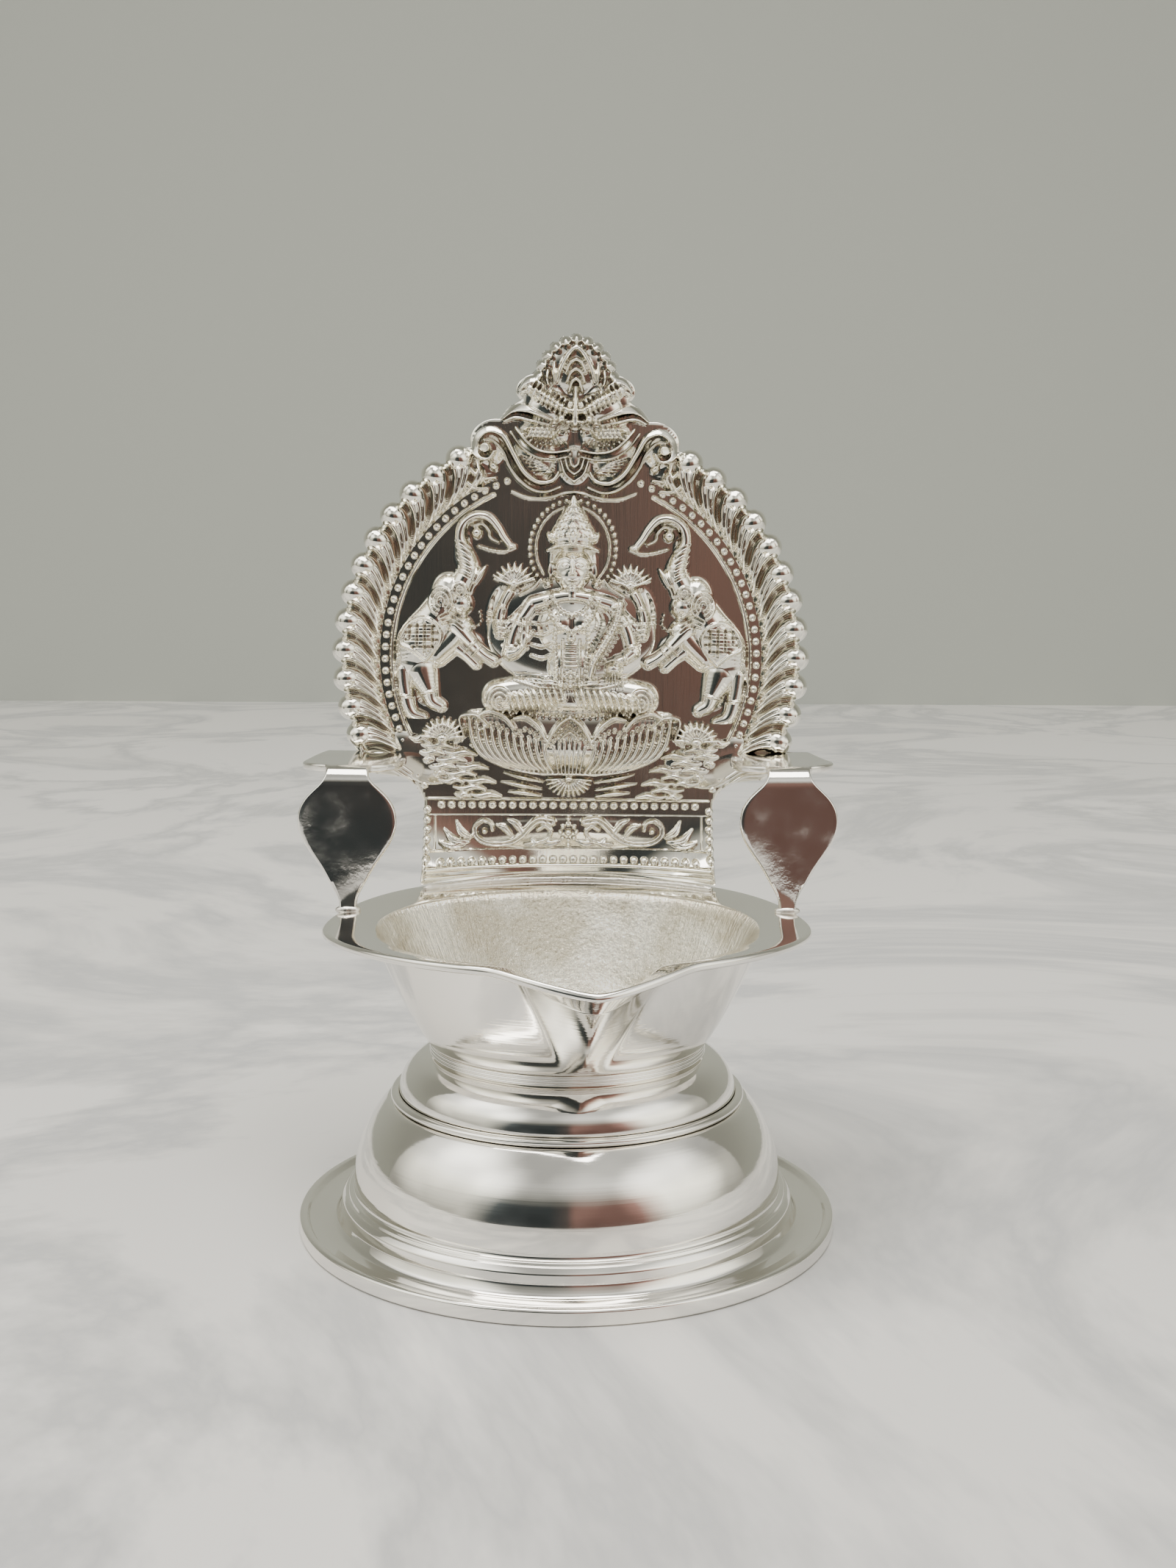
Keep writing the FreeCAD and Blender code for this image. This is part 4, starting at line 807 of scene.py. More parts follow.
def finish_relief(name, relief, near_edge=False):
    """Turns a grid into a closed piece of the faces that stand above the sheet. Where forms run close to the
    plate's outline they round over, to no more than sqrt(4.2 distance) - 0.42 above the sheet."""
    across, level, height = relief["across"], relief["level"], relief["height"]
    if near_edge:
        distance = edge_distance(across, level)
        height = np.minimum(height, -0.42 + np.sqrt(4.2 * np.maximum(distance, 0)))
    lifted = height > -0.35
    touched = lifted[:-1, :-1] | lifted[:-1, 1:] | lifted[1:, :-1] | lifted[1:, 1:]
    # over a swelling of the sheet, the border goes down into the sheet's wall, but not through it
    swelling = sheet_swelling(across, level)
    sunk = np.where(swelling > 0.02, np.maximum(height, swelling - 0.4), height)
    height = np.where(lifted, np.maximum(height, swelling + 0.03), sunk)
    closed_relief(name, across, level, height, touched)


# ---------------------------------------------------------------- back plate: the crown ornament
# Above the arch looks out the face of glory, a lion-like mask without a body: ball eyes under thick ribbed
# brows, a long nose, curled leaves for whiskers, a beaded headdress, and below it two scrolls.

crown = new_relief((-18.0, 89.6), (18.01, 115.2), 0.13)
cord(crown, [(0, 112.9, 0.6, 1.7), (1.1, 111.9, 0.62, 1.7), (2.1, 110.0, 0.55, 1.6), (2.5, 108.2, 0.4, 1.4)],
     both=True, power=0.7)
for apex, half in ((111.2, 1.35), (109.9, 1.2), (108.6, 0.9)):
    cord(crown, [(0, apex, 0.5, 1.7), (0.6 * half, apex - 0.5, 0.48, 1.6), (half, apex - 1.7, 0.3, 1.2)],
         both=True, power=0.7)
for foot, tip in (((3.0, 107.9), (3.0, 110.9)), ((3.8, 107.8), (3.9, 109.8))):
    middle = ((foot[0] + tip[0]) / 2 + 0.12, (foot[1] + tip[1]) / 2)
    cord(crown, [(*foot, 0.32, 1.4), (*middle, 0.4, 1.5), (*tip, 0.26, 1.1)], both=True, power=0.7)
for middle in CROWN_BEADS:
    dome(crown, middle, CROWN_BEAD, 1.5, both=True)
cord(crown, [(4.6, 107.6, 0.5, 1.5), (6.2, 108.3, 0.75, 1.6), (7.6, 107.2, 0.35, 1.1)], both=True)
cord(crown, [(4.9, 106.7, 0.3, 1.3), (6.4, 107.0, 0.38, 1.4), (7.7, 106.6, 0.25, 1.0)], both=True)
dome(crown, (3.4, 104.6), (3.2, 2.6), 1.5, both=True)
# the brows are thick rolls of eight ribs each, and the eyes are balls at their inner ends
cord(crown, [(1.3, 104.2, 1.0, 2.3), (2.9, 105.2, 1.25, 2.6), (4.7, 106.2, 1.25, 2.5),
             (6.3, 107.2, 0.8, 1.9)], both=True, power=0.7)
strokes(crown, ((1.1, 105.6), (2.0, 103.4)), ((5.4, 108.0), (6.3, 106.2)), 8, 0.16, -0.75, on=True, both=True)
dome(crown, (1.9, 103.1), 0.85, 2.5, both=True)
cord(crown, [(0, 107.3, 0.5, 2.4), (0, 105.4, 0.7, 2.8), (0, 103.4, 0.9, 3.0), (0, 102.4, 0.95, 2.9)],
     power=0.8)
dome(crown, (0.95, 102.6), (0.62, 0.52), 2.5, both=True)
dome(crown, (0.55, 102.2), 0.22, -0.7, on=True, power=1, both=True)
cord(crown, [(3.3, 103.0, 0.4, 1.8), (5.4, 103.8, 0.6, 2.0), (7.4, 104.5, 0.75, 1.9), (9.0, 104.2, 0.55, 1.5),
             (10.1, 103.2, 0.25, 1.0)], both=True)
cord(crown, [(3.6, 102.3, 0.3, 1.6), (6.0, 102.8, 0.4, 1.7), (8.2, 103.2, 0.4, 1.5), (9.8, 102.7, 0.25, 1.1)],
     both=True)
dome(crown, (4.7, 101.2), (2.5, 1.25), 1.6, both=True)
for row in range(3):
    dots(crown, [(3.2 + 0.3 * row, 100.6 + 0.62 * row), (6.4 - 0.2 * row, 100.7 + 0.62 * row)], 0.68, 0.31,
         0.45, both=True)
dots(crown, [(1.2, 101.3), (2.3, 101.6)], 0.8, 0.4, 1.8, on=False, both=True)
dots(crown, [(1.2, 99.9), (3.4, 99.6), (5.6, 99.9), (7.2, 101.0)], 0.72, 0.33, 1.7, on=False, both=True)
cord(crown, [(0.6, 98.9, 0.3, 1.9), (3.0, 98.5, 0.36, 2.0), (5.2, 98.9, 0.38, 2.0), (6.9, 100.2, 0.38, 1.9),
             (8.2, 101.9, 0.3, 1.4)], both=True)
cord(crown, [(1.0, 98.0, 0.3, 1.6), (3.2, 97.6, 0.32, 1.7), (5.5, 98.0, 0.32, 1.6), (7.4, 99.3, 0.3, 1.5),
             (8.9, 101.3, 0.26, 1.2)], both=True)
for scale in (1.0, 0.66, 0.33):
    cord(crown, [(0, 97.6 - 3.0 * scale, 0.3, 1.7), (1.3 * scale, 97.6 - 1.9 * scale, 0.32, 1.6),
                 (1.95 * scale, 97.9 - 0.3 * scale, 0.26, 1.3)], both=True)
cord(crown, [(11.1, 98.5, 0.35, 2.0), (11.9, 97.5, 0.42, 2.0), (13.3, 97.8, 0.5, 2.0),
             (13.8, 99.2, 0.55, 2.0),
             (13.2, 100.7, 0.6, 2.0), (11.7, 101.5, 0.65, 2.1), (9.9, 100.7, 0.65, 2.1),
             (8.5, 98.4, 0.62, 2.1),
             (7.3, 96.3, 0.6, 2.1), (6.0, 95.0, 0.58, 2.1), (4.5, 94.4, 0.55, 2.0), (2.9, 94.8, 0.48, 1.8),
             (2.2, 95.9, 0.35, 1.5)], both=True)
cord(crown, [(12.6, 100.1, 0.3, 1.4), (11.3, 100.0, 0.35, 1.5), (9.9, 98.6, 0.38, 1.5), (9.0, 96.6, 0.4, 1.5),
             (7.6, 94.8, 0.4, 1.4), (5.8, 93.5, 0.38, 1.3), (3.9, 93.2, 0.36, 1.3), (1.9, 93.9, 0.3, 1.2)],
     both=True)
dome(crown, (12.35, 99.0), 0.95, 2.5, both=True)
strokes(crown, ((3.0, 95.9), (5.4, 95.6)), ((4.6, 97.2), (7.6, 98.2)), 6, 0.22, 1.5, both=True)
cord(crown, [(14.9, 97.9, 0.42, 1.4), (14.4, 96.2, 0.45, 1.4), (12.9, 94.9, 0.42, 1.3),
             (10.9, 95.0, 0.3, 1.1)], both=True)
cord(crown, [(16.3, 97.2, 0.5, 1.3), (15.4, 95.0, 0.5, 1.3), (13.8, 93.6, 0.42, 1.2), (12.0, 93.5, 0.3, 0.9)],
     both=True)
dome(crown, (11.2, 96.6), (0.9, 0.7), 1.4, both=True, tilt=40)
cord(crown, [(8.6, 93.2, 0.3, 1.0), (6.8, 92.5, 0.36, 1.1), (5.0, 92.3, 0.36, 1.1), (3.2, 92.5, 0.36, 1.1),
             (1.6, 93.0, 0.34, 1.1), (0, 93.3, 0.34, 1.1)], both=True)
# the crown stands out more than it was drawn
CROWN_BOLDNESS = 1.3
crown["height"] = np.where(crown["height"] > 0, crown["height"] * CROWN_BOLDNESS, crown["height"])
finish_relief("face_of_glory_crown", crown, near_edge=True)


# ---------------------------------------------------------------- back plate: the seated figure
# In the middle of the field sits the goddess of plenty on her lotus: four arms, two of them with lotuses,
# pleated skirt, garlands, a nimbus of beads. The head is its own piece, finer than the rest.

figure = new_relief((-12.6, 61.6), (12.61, 93.2), 0.112)
nimbus_turn = np.radians(np.linspace(-52, 232, 60))
nimbus = np.stack([6.0 * np.cos(nimbus_turn), 85.5 + 6.7 * np.sin(nimbus_turn)], 1)
dots(figure, nimbus, 0.98, 0.44, 1.25, on=False)
cord(figure, [(0.86 * x, 85.5 + 0.87 * (y - 85.5), 0.3, 0.75) for x, y in nimbus[::4]], steps=4)
# raised arms with lotuses
cord(figure, [(5.6, 77.8, 1.1, 1.8), (8.2, 75.2, 1.0, 1.8), (9.9, 73.6, 0.95, 1.9)], both=True)
cord(figure, [(9.9, 73.6, 0.95, 2.0), (10.2, 75.8, 0.85, 2.0), (9.5, 78.0, 0.78, 2.0),
              (8.8, 79.3, 0.85, 2.1)], both=True)
for level in (72.9, 73.6, 74.3, 75.0, 77.2):
    cord(figure, [(9.2, level, 0.2, 0.4), (10.1, level + 0.12, 0.24, 0.45), (11.0, level, 0.2, 0.4)], on=True,
         both=True)
for turn in np.radians(np.linspace(-78, 78, 9)):
    reach_x, reach_y = np.sin(turn), np.cos(turn)
    cord(figure, [(8.1 + 0.6 * reach_x, 80.5 + 0.6 * reach_y, 0.3, 1.5),
                  (8.1 + 1.8 * reach_x, 80.5 + 1.8 * reach_y, 0.42, 1.8),
                  (8.1 + 2.9 * reach_x, 80.5 + 2.9 * reach_y, 0.2, 1.3)], both=True, steps=3)
dome(figure, (8.1, 80.5), 0.85, 2.2, both=True)
cord(figure, [(5.4, 81.4, 0.22, 1.5), (6.8, 80.8, 0.34, 1.9), (8.1, 80.4, 0.4, 2.1), (9.6, 80.8, 0.34, 1.9),
              (11.0, 81.6, 0.22, 1.5)], both=True)
cord(figure, [(4.4, 81.2, 0.3, 1.3), (5.4, 80.0, 0.34, 1.5), (7.2, 79.0, 0.3, 1.3)], both=True)
# cloth behind the arms and legs fills the figure's outline
dome(figure, (0, 73.6), (11.9, 8.2), 1.35, power=0.3)
# legs, crossed under the pleated skirt: thighs, then the pleats, each a slanted leaf, and the folded hem
cord(figure, [(2.6, 65.3, 2.5, 2.4), (6.8, 65.1, 2.7, 2.6), (10.2, 64.7, 2.5, 2.7)], both=True)
for place in np.arange(-8.4, 9.3, 0.93):
    cord(figure, [(place - 0.5, 66.3 - 0.02 * place ** 2, 0.26, 0.5), (place, 64.8, 0.42, 0.95),
                  (place + 0.5, 62.9, 0.34, 0.6)], on=True, power=0.7, steps=4)
dots(figure, [(-9.4, 62.6), (0, 62.15), (9.4, 62.6)], 0.95, 0.42, 2.4, on=False)
for radius in (0.6, 1.25, 1.9):
    cord(figure, [(9.9 + 0.85 * radius * np.cos(turn), 64.1 + radius * np.sin(turn), 0.2, 0.4)
                  for turn in np.radians(np.arange(-100, 200, 25))], on=True, both=True, steps=2)
for fold in range(4):
    cord(figure, [(1.9, 66.2 + 0.45 * fold, 0.2, 0.5), (4.6, 66.3 + 0.5 * fold, 0.24, 0.6),
                  (8.0, 67.2 + 0.25 * fold, 0.18, 0.4)], on=True, both=True, steps=4)
strokes(figure, ((-1.7, 62.9), (-0.7, 62.9)), ((-1.7, 64.5), (-0.7, 64.5)), 5, 0.17, 0.5, on=True)
# body and shoulders
dome(figure, (0, 69.4), (3.7, 3.8), 2.7)
dome(figure, (0, 74.6), (5.4, 4.9), 2.8)
for fold in range(5):
    cord(figure, [(-5.6, 70.6 + 1.5 * fold, 0.2, 0.3), (-4.0, 70.2 + 1.6 * fold, 0.26, 0.35),
                  (-2.6, 70.9 + 1.6 * fold, 0.2, 0.3)], on=True, power=1, steps=4)
cord(figure, [(-5.4, 77.7, 1.35, 2.3), (-2.6, 78.5, 1.3, 2.5), (0, 78.9, 1.3, 2.6), (2.6, 78.5, 1.3, 2.5),
              (5.4, 77.7, 1.35, 2.3)])
dome(figure, (2.0, 75.2), (1.7, 1.6), 0.45, on=True, power=1, both=True)
# the two lower arms: one palm raised in blessing, one hand giving from a pot
cord(figure, [(-5.7, 77.4, 1.35, 2.4), (-7.7, 74.2, 1.2, 2.4), (-8.6, 70.8, 1.15, 2.5)])
cord(figure, [(-8.6, 70.8, 1.15, 2.6), (-7.6, 71.1, 0.95, 2.9), (-6.7, 72.0, 0.8, 3.1)])
cord(figure, [(-6.7, 72.2, 0.7, 3.2), (-6.6, 73.2, 1.0, 3.3), (-6.6, 74.2, 0.95, 3.2),
              (-6.6, 75.1, 0.8, 3.0)])
cord(figure, [(-5.9, 73.0, 0.3, 3.1), (-5.3, 73.9, 0.26, 2.8)])
strokes(figure, ((-7.05, 73.9), (-7.05, 75.7)), ((-6.15, 73.9), (-6.15, 75.7)), 3, 0.13, -0.4, on=True)
cord(figure, [(5.7, 77.4, 1.35, 2.4), (7.7, 74.4, 1.2, 2.4), (8.6, 71.4, 1.15, 2.5)])
cord(figure, [(8.6, 71.2, 1.1, 2.6), (7.6, 70.4, 0.95, 2.8), (6.4, 70.0, 0.9, 3.0)])
dome(figure, (6.0, 68.9), (1.45, 1.25), 2.9)
cord(figure, [(4.8, 69.8, 0.25, 3.1), (6.0, 70.2, 0.28, 3.2), (7.2, 69.8, 0.25, 3.1)])
strokes(figure, ((5.0, 67.8), (4.7, 65.8)), ((7.0, 67.8), (7.4, 65.8)), 6, 0.2, 2.9)
for start, end in (((-9.5, 71.9), (-7.7, 71.6)), ((-7.6, 72.2), (-6.2, 71.5)), ((7.7, 71.9), (9.5, 72.2)),
                   ((7.3, 71.2), (7.7, 69.6)), ((-8.8, 75.6), (-6.4, 74.8)), ((6.4, 74.8), (8.8, 75.6))):
    cord(figure, [(*start, 0.24, 0.4), (*end, 0.24, 0.4)], on=True, steps=2)
# cloth over the shoulder, drawn as a ladder of folds
cord(figure, [(6.7, 77.9, 0.8, 2.8), (6.1, 75.2, 0.9, 3.0), (4.6, 72.4, 0.95, 3.2), (3.1, 69.8, 0.85, 3.1),
              (2.6, 67.8, 0.7, 2.9)])
strokes(figure, ((5.7, 77.4), (7.5, 77.9)), ((5.2, 74.6), (6.9, 74.0)), 6, 0.17, 0.4, on=True)
strokes(figure, ((4.9, 74.0), (6.5, 73.2)), ((2.2, 69.8), (4.0, 69.0)), 8, 0.17, 0.4, on=True)
# jewellery: two necklaces, garlands, belt and a rosette
dots(figure, [(2.9, 78.9), (1.7, 77.0), (0, 76.2)], 0.6, 0.29, 0.5, both=True)
dots(figure, [(3.6, 78.2), (2.4, 75.4), (0, 73.9)], 0.64, 0.31, 0.55, both=True)
dome(figure, (0, 73.2), (0.6, 0.75), 0.7, on=True)
dots(figure, [(2.0, 76.2), (2.3, 73.0), (2.1, 69.4), (1.9, 66.6)], 0.66, 0.31, 0.5, both=True)
cord(figure, [(1.15, 72.8, 0.2, 0.45), (1.2, 69.4, 0.2, 0.45), (1.15, 66.3, 0.2, 0.45)], on=True, both=True)
strokes(figure, ((-0.8, 72.2), (0.8, 72.2)), ((-0.8, 69.2), (0.8, 69.2)), 6, 0.16, 0.32, on=True)
cord(figure, [(3.6, 67.2, 0.4, 0.6), (0, 66.3, 0.45, 0.7)], on=True, both=True, steps=4)
for turn in np.radians(np.arange(0, 360, 45)):
    dome(figure, (0.75 * np.cos(turn), 67.7 + 0.75 * np.sin(turn)), 0.32, 0.5, on=True)
dome(figure, (0, 67.7), 0.42, 0.7, on=True)
finish_relief("seated_figure", figure)

# the head: a calm, regular face of plain proportions, ears with round jewels, and a tall tiered crown
head = new_relief((-4.7, 78.4), (4.71, 93.4), 0.075)
cord(head, [(0, 78.8, 1.3, 2.8), (0, 79.8, 1.3, 2.6)], steps=3)
dome(head, (3.0, 82.5), (0.55, 1.25), 2.2, both=True)
dome(head, (3.0, 82.6), (0.28, 0.8), -0.4, on=True, power=1, both=True)
dome(head, (3.35, 80.6), 0.8, 2.1, both=True)
dome(head, (3.35, 80.6), 0.4, 0.5, on=True, both=True)
dome(head, (0, 82.6), (2.9, 3.25), 3.2)
dome(head, (0, 81.0), (1.9, 1.8), 0.25, on=True, power=1)
dome(head, (1.35, 81.5), (0.95, 0.9), 0.16, on=True, power=2, both=True)
cord(head, [(0.4, 83.95, 0.2, 0.16), (1.1, 84.25, 0.2, 0.18), (1.95, 83.9, 0.16, 0.12)], on=True, power=1,
     both=True)
dome(head, (1.08, 83.2), (0.72, 0.42), -0.14, on=True, power=1, both=True)
dome(head, (1.08, 83.12), (0.52, 0.27), 0.3, on=True, power=1, both=True)
cord(head, [(0.5, 83.12, 0.1, 0.1), (1.08, 83.42, 0.11, 0.16), (1.72, 83.12, 0.1, 0.1)], on=True, power=1,
     both=True)
cord(head, [(0, 84.0, 0.22, 0.08), (0, 83.0, 0.26, 0.3), (0, 82.1, 0.34, 0.52)], on=True, power=1)
dome(head, (0.34, 81.95), 0.24, 0.22, on=True, power=1, both=True)
cord(head, [(0.85, 81.0, 0.1, 0.1), (0.4, 81.12, 0.17, 0.24), (0, 81.06, 0.17, 0.24)], on=True, power=1,
     both=True)
cord(head, [(0.65, 80.78, 0.14, 0.14), (0, 80.66, 0.22, 0.28)], on=True, power=1, both=True, steps=4)
cord(head, [(0.9, 80.95, 0.08, -0.14), (0, 80.9, 0.09, -0.2)], on=True, power=1, both=True, steps=4)
dome(head, (0, 80.05), (0.6, 0.45), 0.16, on=True, power=1)
dome(head, (0, 84.55), 0.22, 0.2, on=True)
dome(head, (0, 87.3), (3.3, 2.6), 2.9)
cord(head, [(0, 87.8, 2.9, 2.9), (0, 89.4, 2.1, 2.7), (0, 90.8, 1.35, 2.4), (0, 92.0, 0.75, 2.1),
            (0, 92.6, 0.4, 1.8)])
cord(head, [(3.5, 85.2, 0.42, 2.8), (2.0, 85.75, 0.5, 3.3), (0, 86.0, 0.52, 3.5)], both=True)
dots(head, [(-3.3, 85.25), (-1.8, 85.8), (0, 86.0), (1.8, 85.8), (3.3, 85.25)], 0.66, 0.27, 0.32)
for level, half in ((87.2, 2.9), (88.3, 2.4), (89.4, 1.9), (90.4, 1.3), (91.3, 0.8)):
    dots(head, [(-half, level - 0.25), (0, level + 0.15), (half, level - 0.25)], 0.7, 0.28, 0.4)
cord(head, [(0, 86.4, 0.5, 0.5), (0, 87.6, 0.7, 0.6), (0, 88.8, 0.3, 0.4)], on=True)
dome(head, (3.3, 87.0), (0.5, 0.95), 2.2, both=True, tilt=-20)
finish_relief("figure_head_and_crown", head)


# ---------------------------------------------------------------- back plate: the lotus throne
# The figure sits on an open lotus: beaded petal edges above, a fan of ribs under them, and a half lotus
# disc with leaves below.

throne = new_relief((-16.2, 50.1), (16.21, 63.4), 0.128)
cord(throne, [(0, 58.3, 4.4, 1.3), (6.0, 58.7, 4.3, 1.3), (10.6, 59.6, 3.4, 1.2), (13.4, 61.0, 1.9, 1.1)],
     both=True)
# ribs of the open flower: each falls from the petals' edge and bends in to the narrow foot
for top in np.arange(3.7, 14.9, 1.05):
    cord(throne, [(top, 58.4 + 0.016 * top ** 2, 0.4, 1.8),
                  (0.955 * top, 57.0 + 0.007 * top ** 2, 0.54, 2.1),
                  (0.84 * top, 55.4 + 0.004 * top ** 2, 0.46, 2.0),
                  (0.62 * top, 54.15 + 0.003 * top ** 2, 0.28, 1.5)], both=True, steps=4)
cord(throne, [(0, 62.0, 0.42, 2.5), (1.4, 61.0, 0.46, 2.5), (2.5, 59.5, 0.46, 2.4), (3.2, 58.0, 0.4, 2.2)],
     both=True)
dots(throne, [(0, 60.7), (1.1, 60.0), (2.0, 58.9), (2.6, 57.9)], 0.66, 0.3, 2.3, on=False, both=True)
cord(throne, [(0, 59.9, 0.26, 2.1), (0.9, 59.2, 0.28, 2.1), (1.5, 58.2, 0.24, 1.9)], both=True)
strokes(throne, ((0.0, 59.0), (0.0, 54.1)), ((2.2, 57.8), (1.5, 54.1)), 4, 0.26, 2.0, both=True)
cord(throne, [(3.3, 58.6, 0.4, 2.1), (4.4, 60.6, 0.55, 2.3), (6.2, 61.9, 0.6, 2.3), (7.9, 61.7, 0.4, 2.1)],
     both=True)
cord(throne, [(7.8, 60.3, 0.4, 2.1), (9.2, 61.9, 0.55, 2.2), (11.3, 62.6, 0.55, 2.2),
              (12.8, 62.0, 0.35, 2.0)], both=True)
cord(throne, [(11.6, 60.6, 0.26, 1.8), (13.2, 62.0, 0.34, 2.0), (15.2, 61.9, 0.3, 1.7),
              (15.5, 61.0, 0.28, 1.5), (14.9, 59.0, 0.28, 1.4)], both=True)
dots(throne, [(4.3, 58.9), (5.3, 59.8), (6.5, 60.1), (7.7, 59.3)], 0.85, 0.33, 2.1, on=False, both=True)
dots(throne, [(8.9, 59.9), (10.2, 60.8), (11.5, 60.7), (12.6, 60.0)], 0.85, 0.33, 2.1, on=False, both=True)
cord(throne, [(0, 53.85, 0.3, 1.6), (4.6, 53.9, 0.32, 1.6), (8.4, 54.6, 0.34, 1.6), (11.8, 56.0, 0.32, 1.4),
              (14.0, 57.8, 0.28, 1.2)], both=True)
# the half lotus under it and the leaves at its sides
for turn in np.radians(np.linspace(-84, 84, 13)):
    cord(throne, [(0.9 * np.sin(turn), 53.3 - 0.8 * np.cos(turn), 0.16, 1.4),
                  (2.1 * np.sin(turn), 53.3 - 1.7 * np.cos(turn), 0.28, 1.7),
                  (3.2 * np.sin(turn), 53.3 - 2.6 * np.cos(turn), 0.26, 1.3)], steps=3)
dome(throne, (0, 53.2), (0.9, 0.6), 1.9)
for tip, bend, foot in (((9.2, 53.9), (6.4, 53.2), (3.7, 52.7)), ((9.6, 52.6), (6.6, 52.1), (3.9, 51.6)),
                        ((8.6, 51.2), (6.4, 51.1), (3.9, 50.7))):
    cord(throne, [(*foot, 0.22, 1.0), (*bend, 0.46, 1.4), (*tip, 0.18, 0.9)], both=True)
finish_relief("lotus_throne", throne)


# ---------------------------------------------------------------- back plate: water and side lotuses
# Under the elephants the plate shows water, as short ripples in rows, and at either side a lotus stands on
# it. Below the border's ends two ribs run along the plate's shoulder.

for side, side_name in ((-1, "left"), (1, "right")):
    low, high = sorted((side * 7.4, side * 30.4))
    water = new_relief((low, 50.1), (high, 62.4), 0.125)
    for row, level in enumerate(np.arange(50.6, 58.7, 0.98)):
        inner = 10.4 + 0.30 * (level - 52.0) ** 1.5 if level > 52.0 else 9.6
        outer = np.sqrt(25.3 ** 2 - (70.2 - level) ** 2)
        for start in np.arange(inner + 2.3 * (row % 2), outer - 1.0, 4.4):
            end = min(start + 4.3, outer)
            step = (end - start) / 3
            cord(water, [(side * start, level - 0.1, 0.3, 0.7),
                         (side * (start + step), level + 0.26, 0.56, 1.3),
                         (side * (start + 2 * step), level + 0.02, 0.54, 1.25),
                         (side * end, level + 0.22, 0.3, 0.7)], steps=4)
    for turn in np.radians(np.linspace(-84, 84, 11)):
        cord(water, [(side * (17.9 + r * np.sin(turn)), 58.7 + 0.92 * r * np.cos(turn), half, tall)
                     for r, half, tall in ((0.7, 0.2, 1.4), (1.9, 0.42, 1.8), (3.0, 0.3, 1.4))], steps=3)
    dome(water, (side * 17.9, 58.7), (1.2, 0.8), 2.1)
    strokes(water, ((side * 16.2, 58.0), (side * 14.8, 58.9)), ((side * 19.6, 58.0), (side * 21.2, 58.9)), 2,
            0.35, 1.5)
    cord(water, [(side * 29.3, 57.0, 0.4, 0.9), (side * 28.0, 54.5, 0.42, 0.9), (side * 24.8, 54.0, 0.4, 0.9),
                 (side * 22.5, 52.4, 0.36, 0.8), (side * 21.2, 50.6, 0.3, 0.7)])
    cord(water, [(side * 28.0, 57.8, 0.34, 0.8), (side * 26.6, 55.9, 0.34, 0.8),
                 (side * 24.6, 55.1, 0.32, 0.8), (side * 22.3, 53.6, 0.3, 0.7)])
    # the water's ground swells between the waves
    cord(water, [(side * 15.6, 55.4, 2.2, 0.6), (side * 19.5, 55.2, 3.3, 0.75),
                 (side * 23.6, 56.6, 3.0, 0.7)])
    finish_relief("water_and_lotus_" + side_name, water, near_edge=True)


# ---------------------------------------------------------------- back plate: the elephants
# An elephant rears on either side and pours water over the figure with its lifted trunk. It wears a netted
# saddlecloth. One is drawn and laid down twice, the second time mirrored.

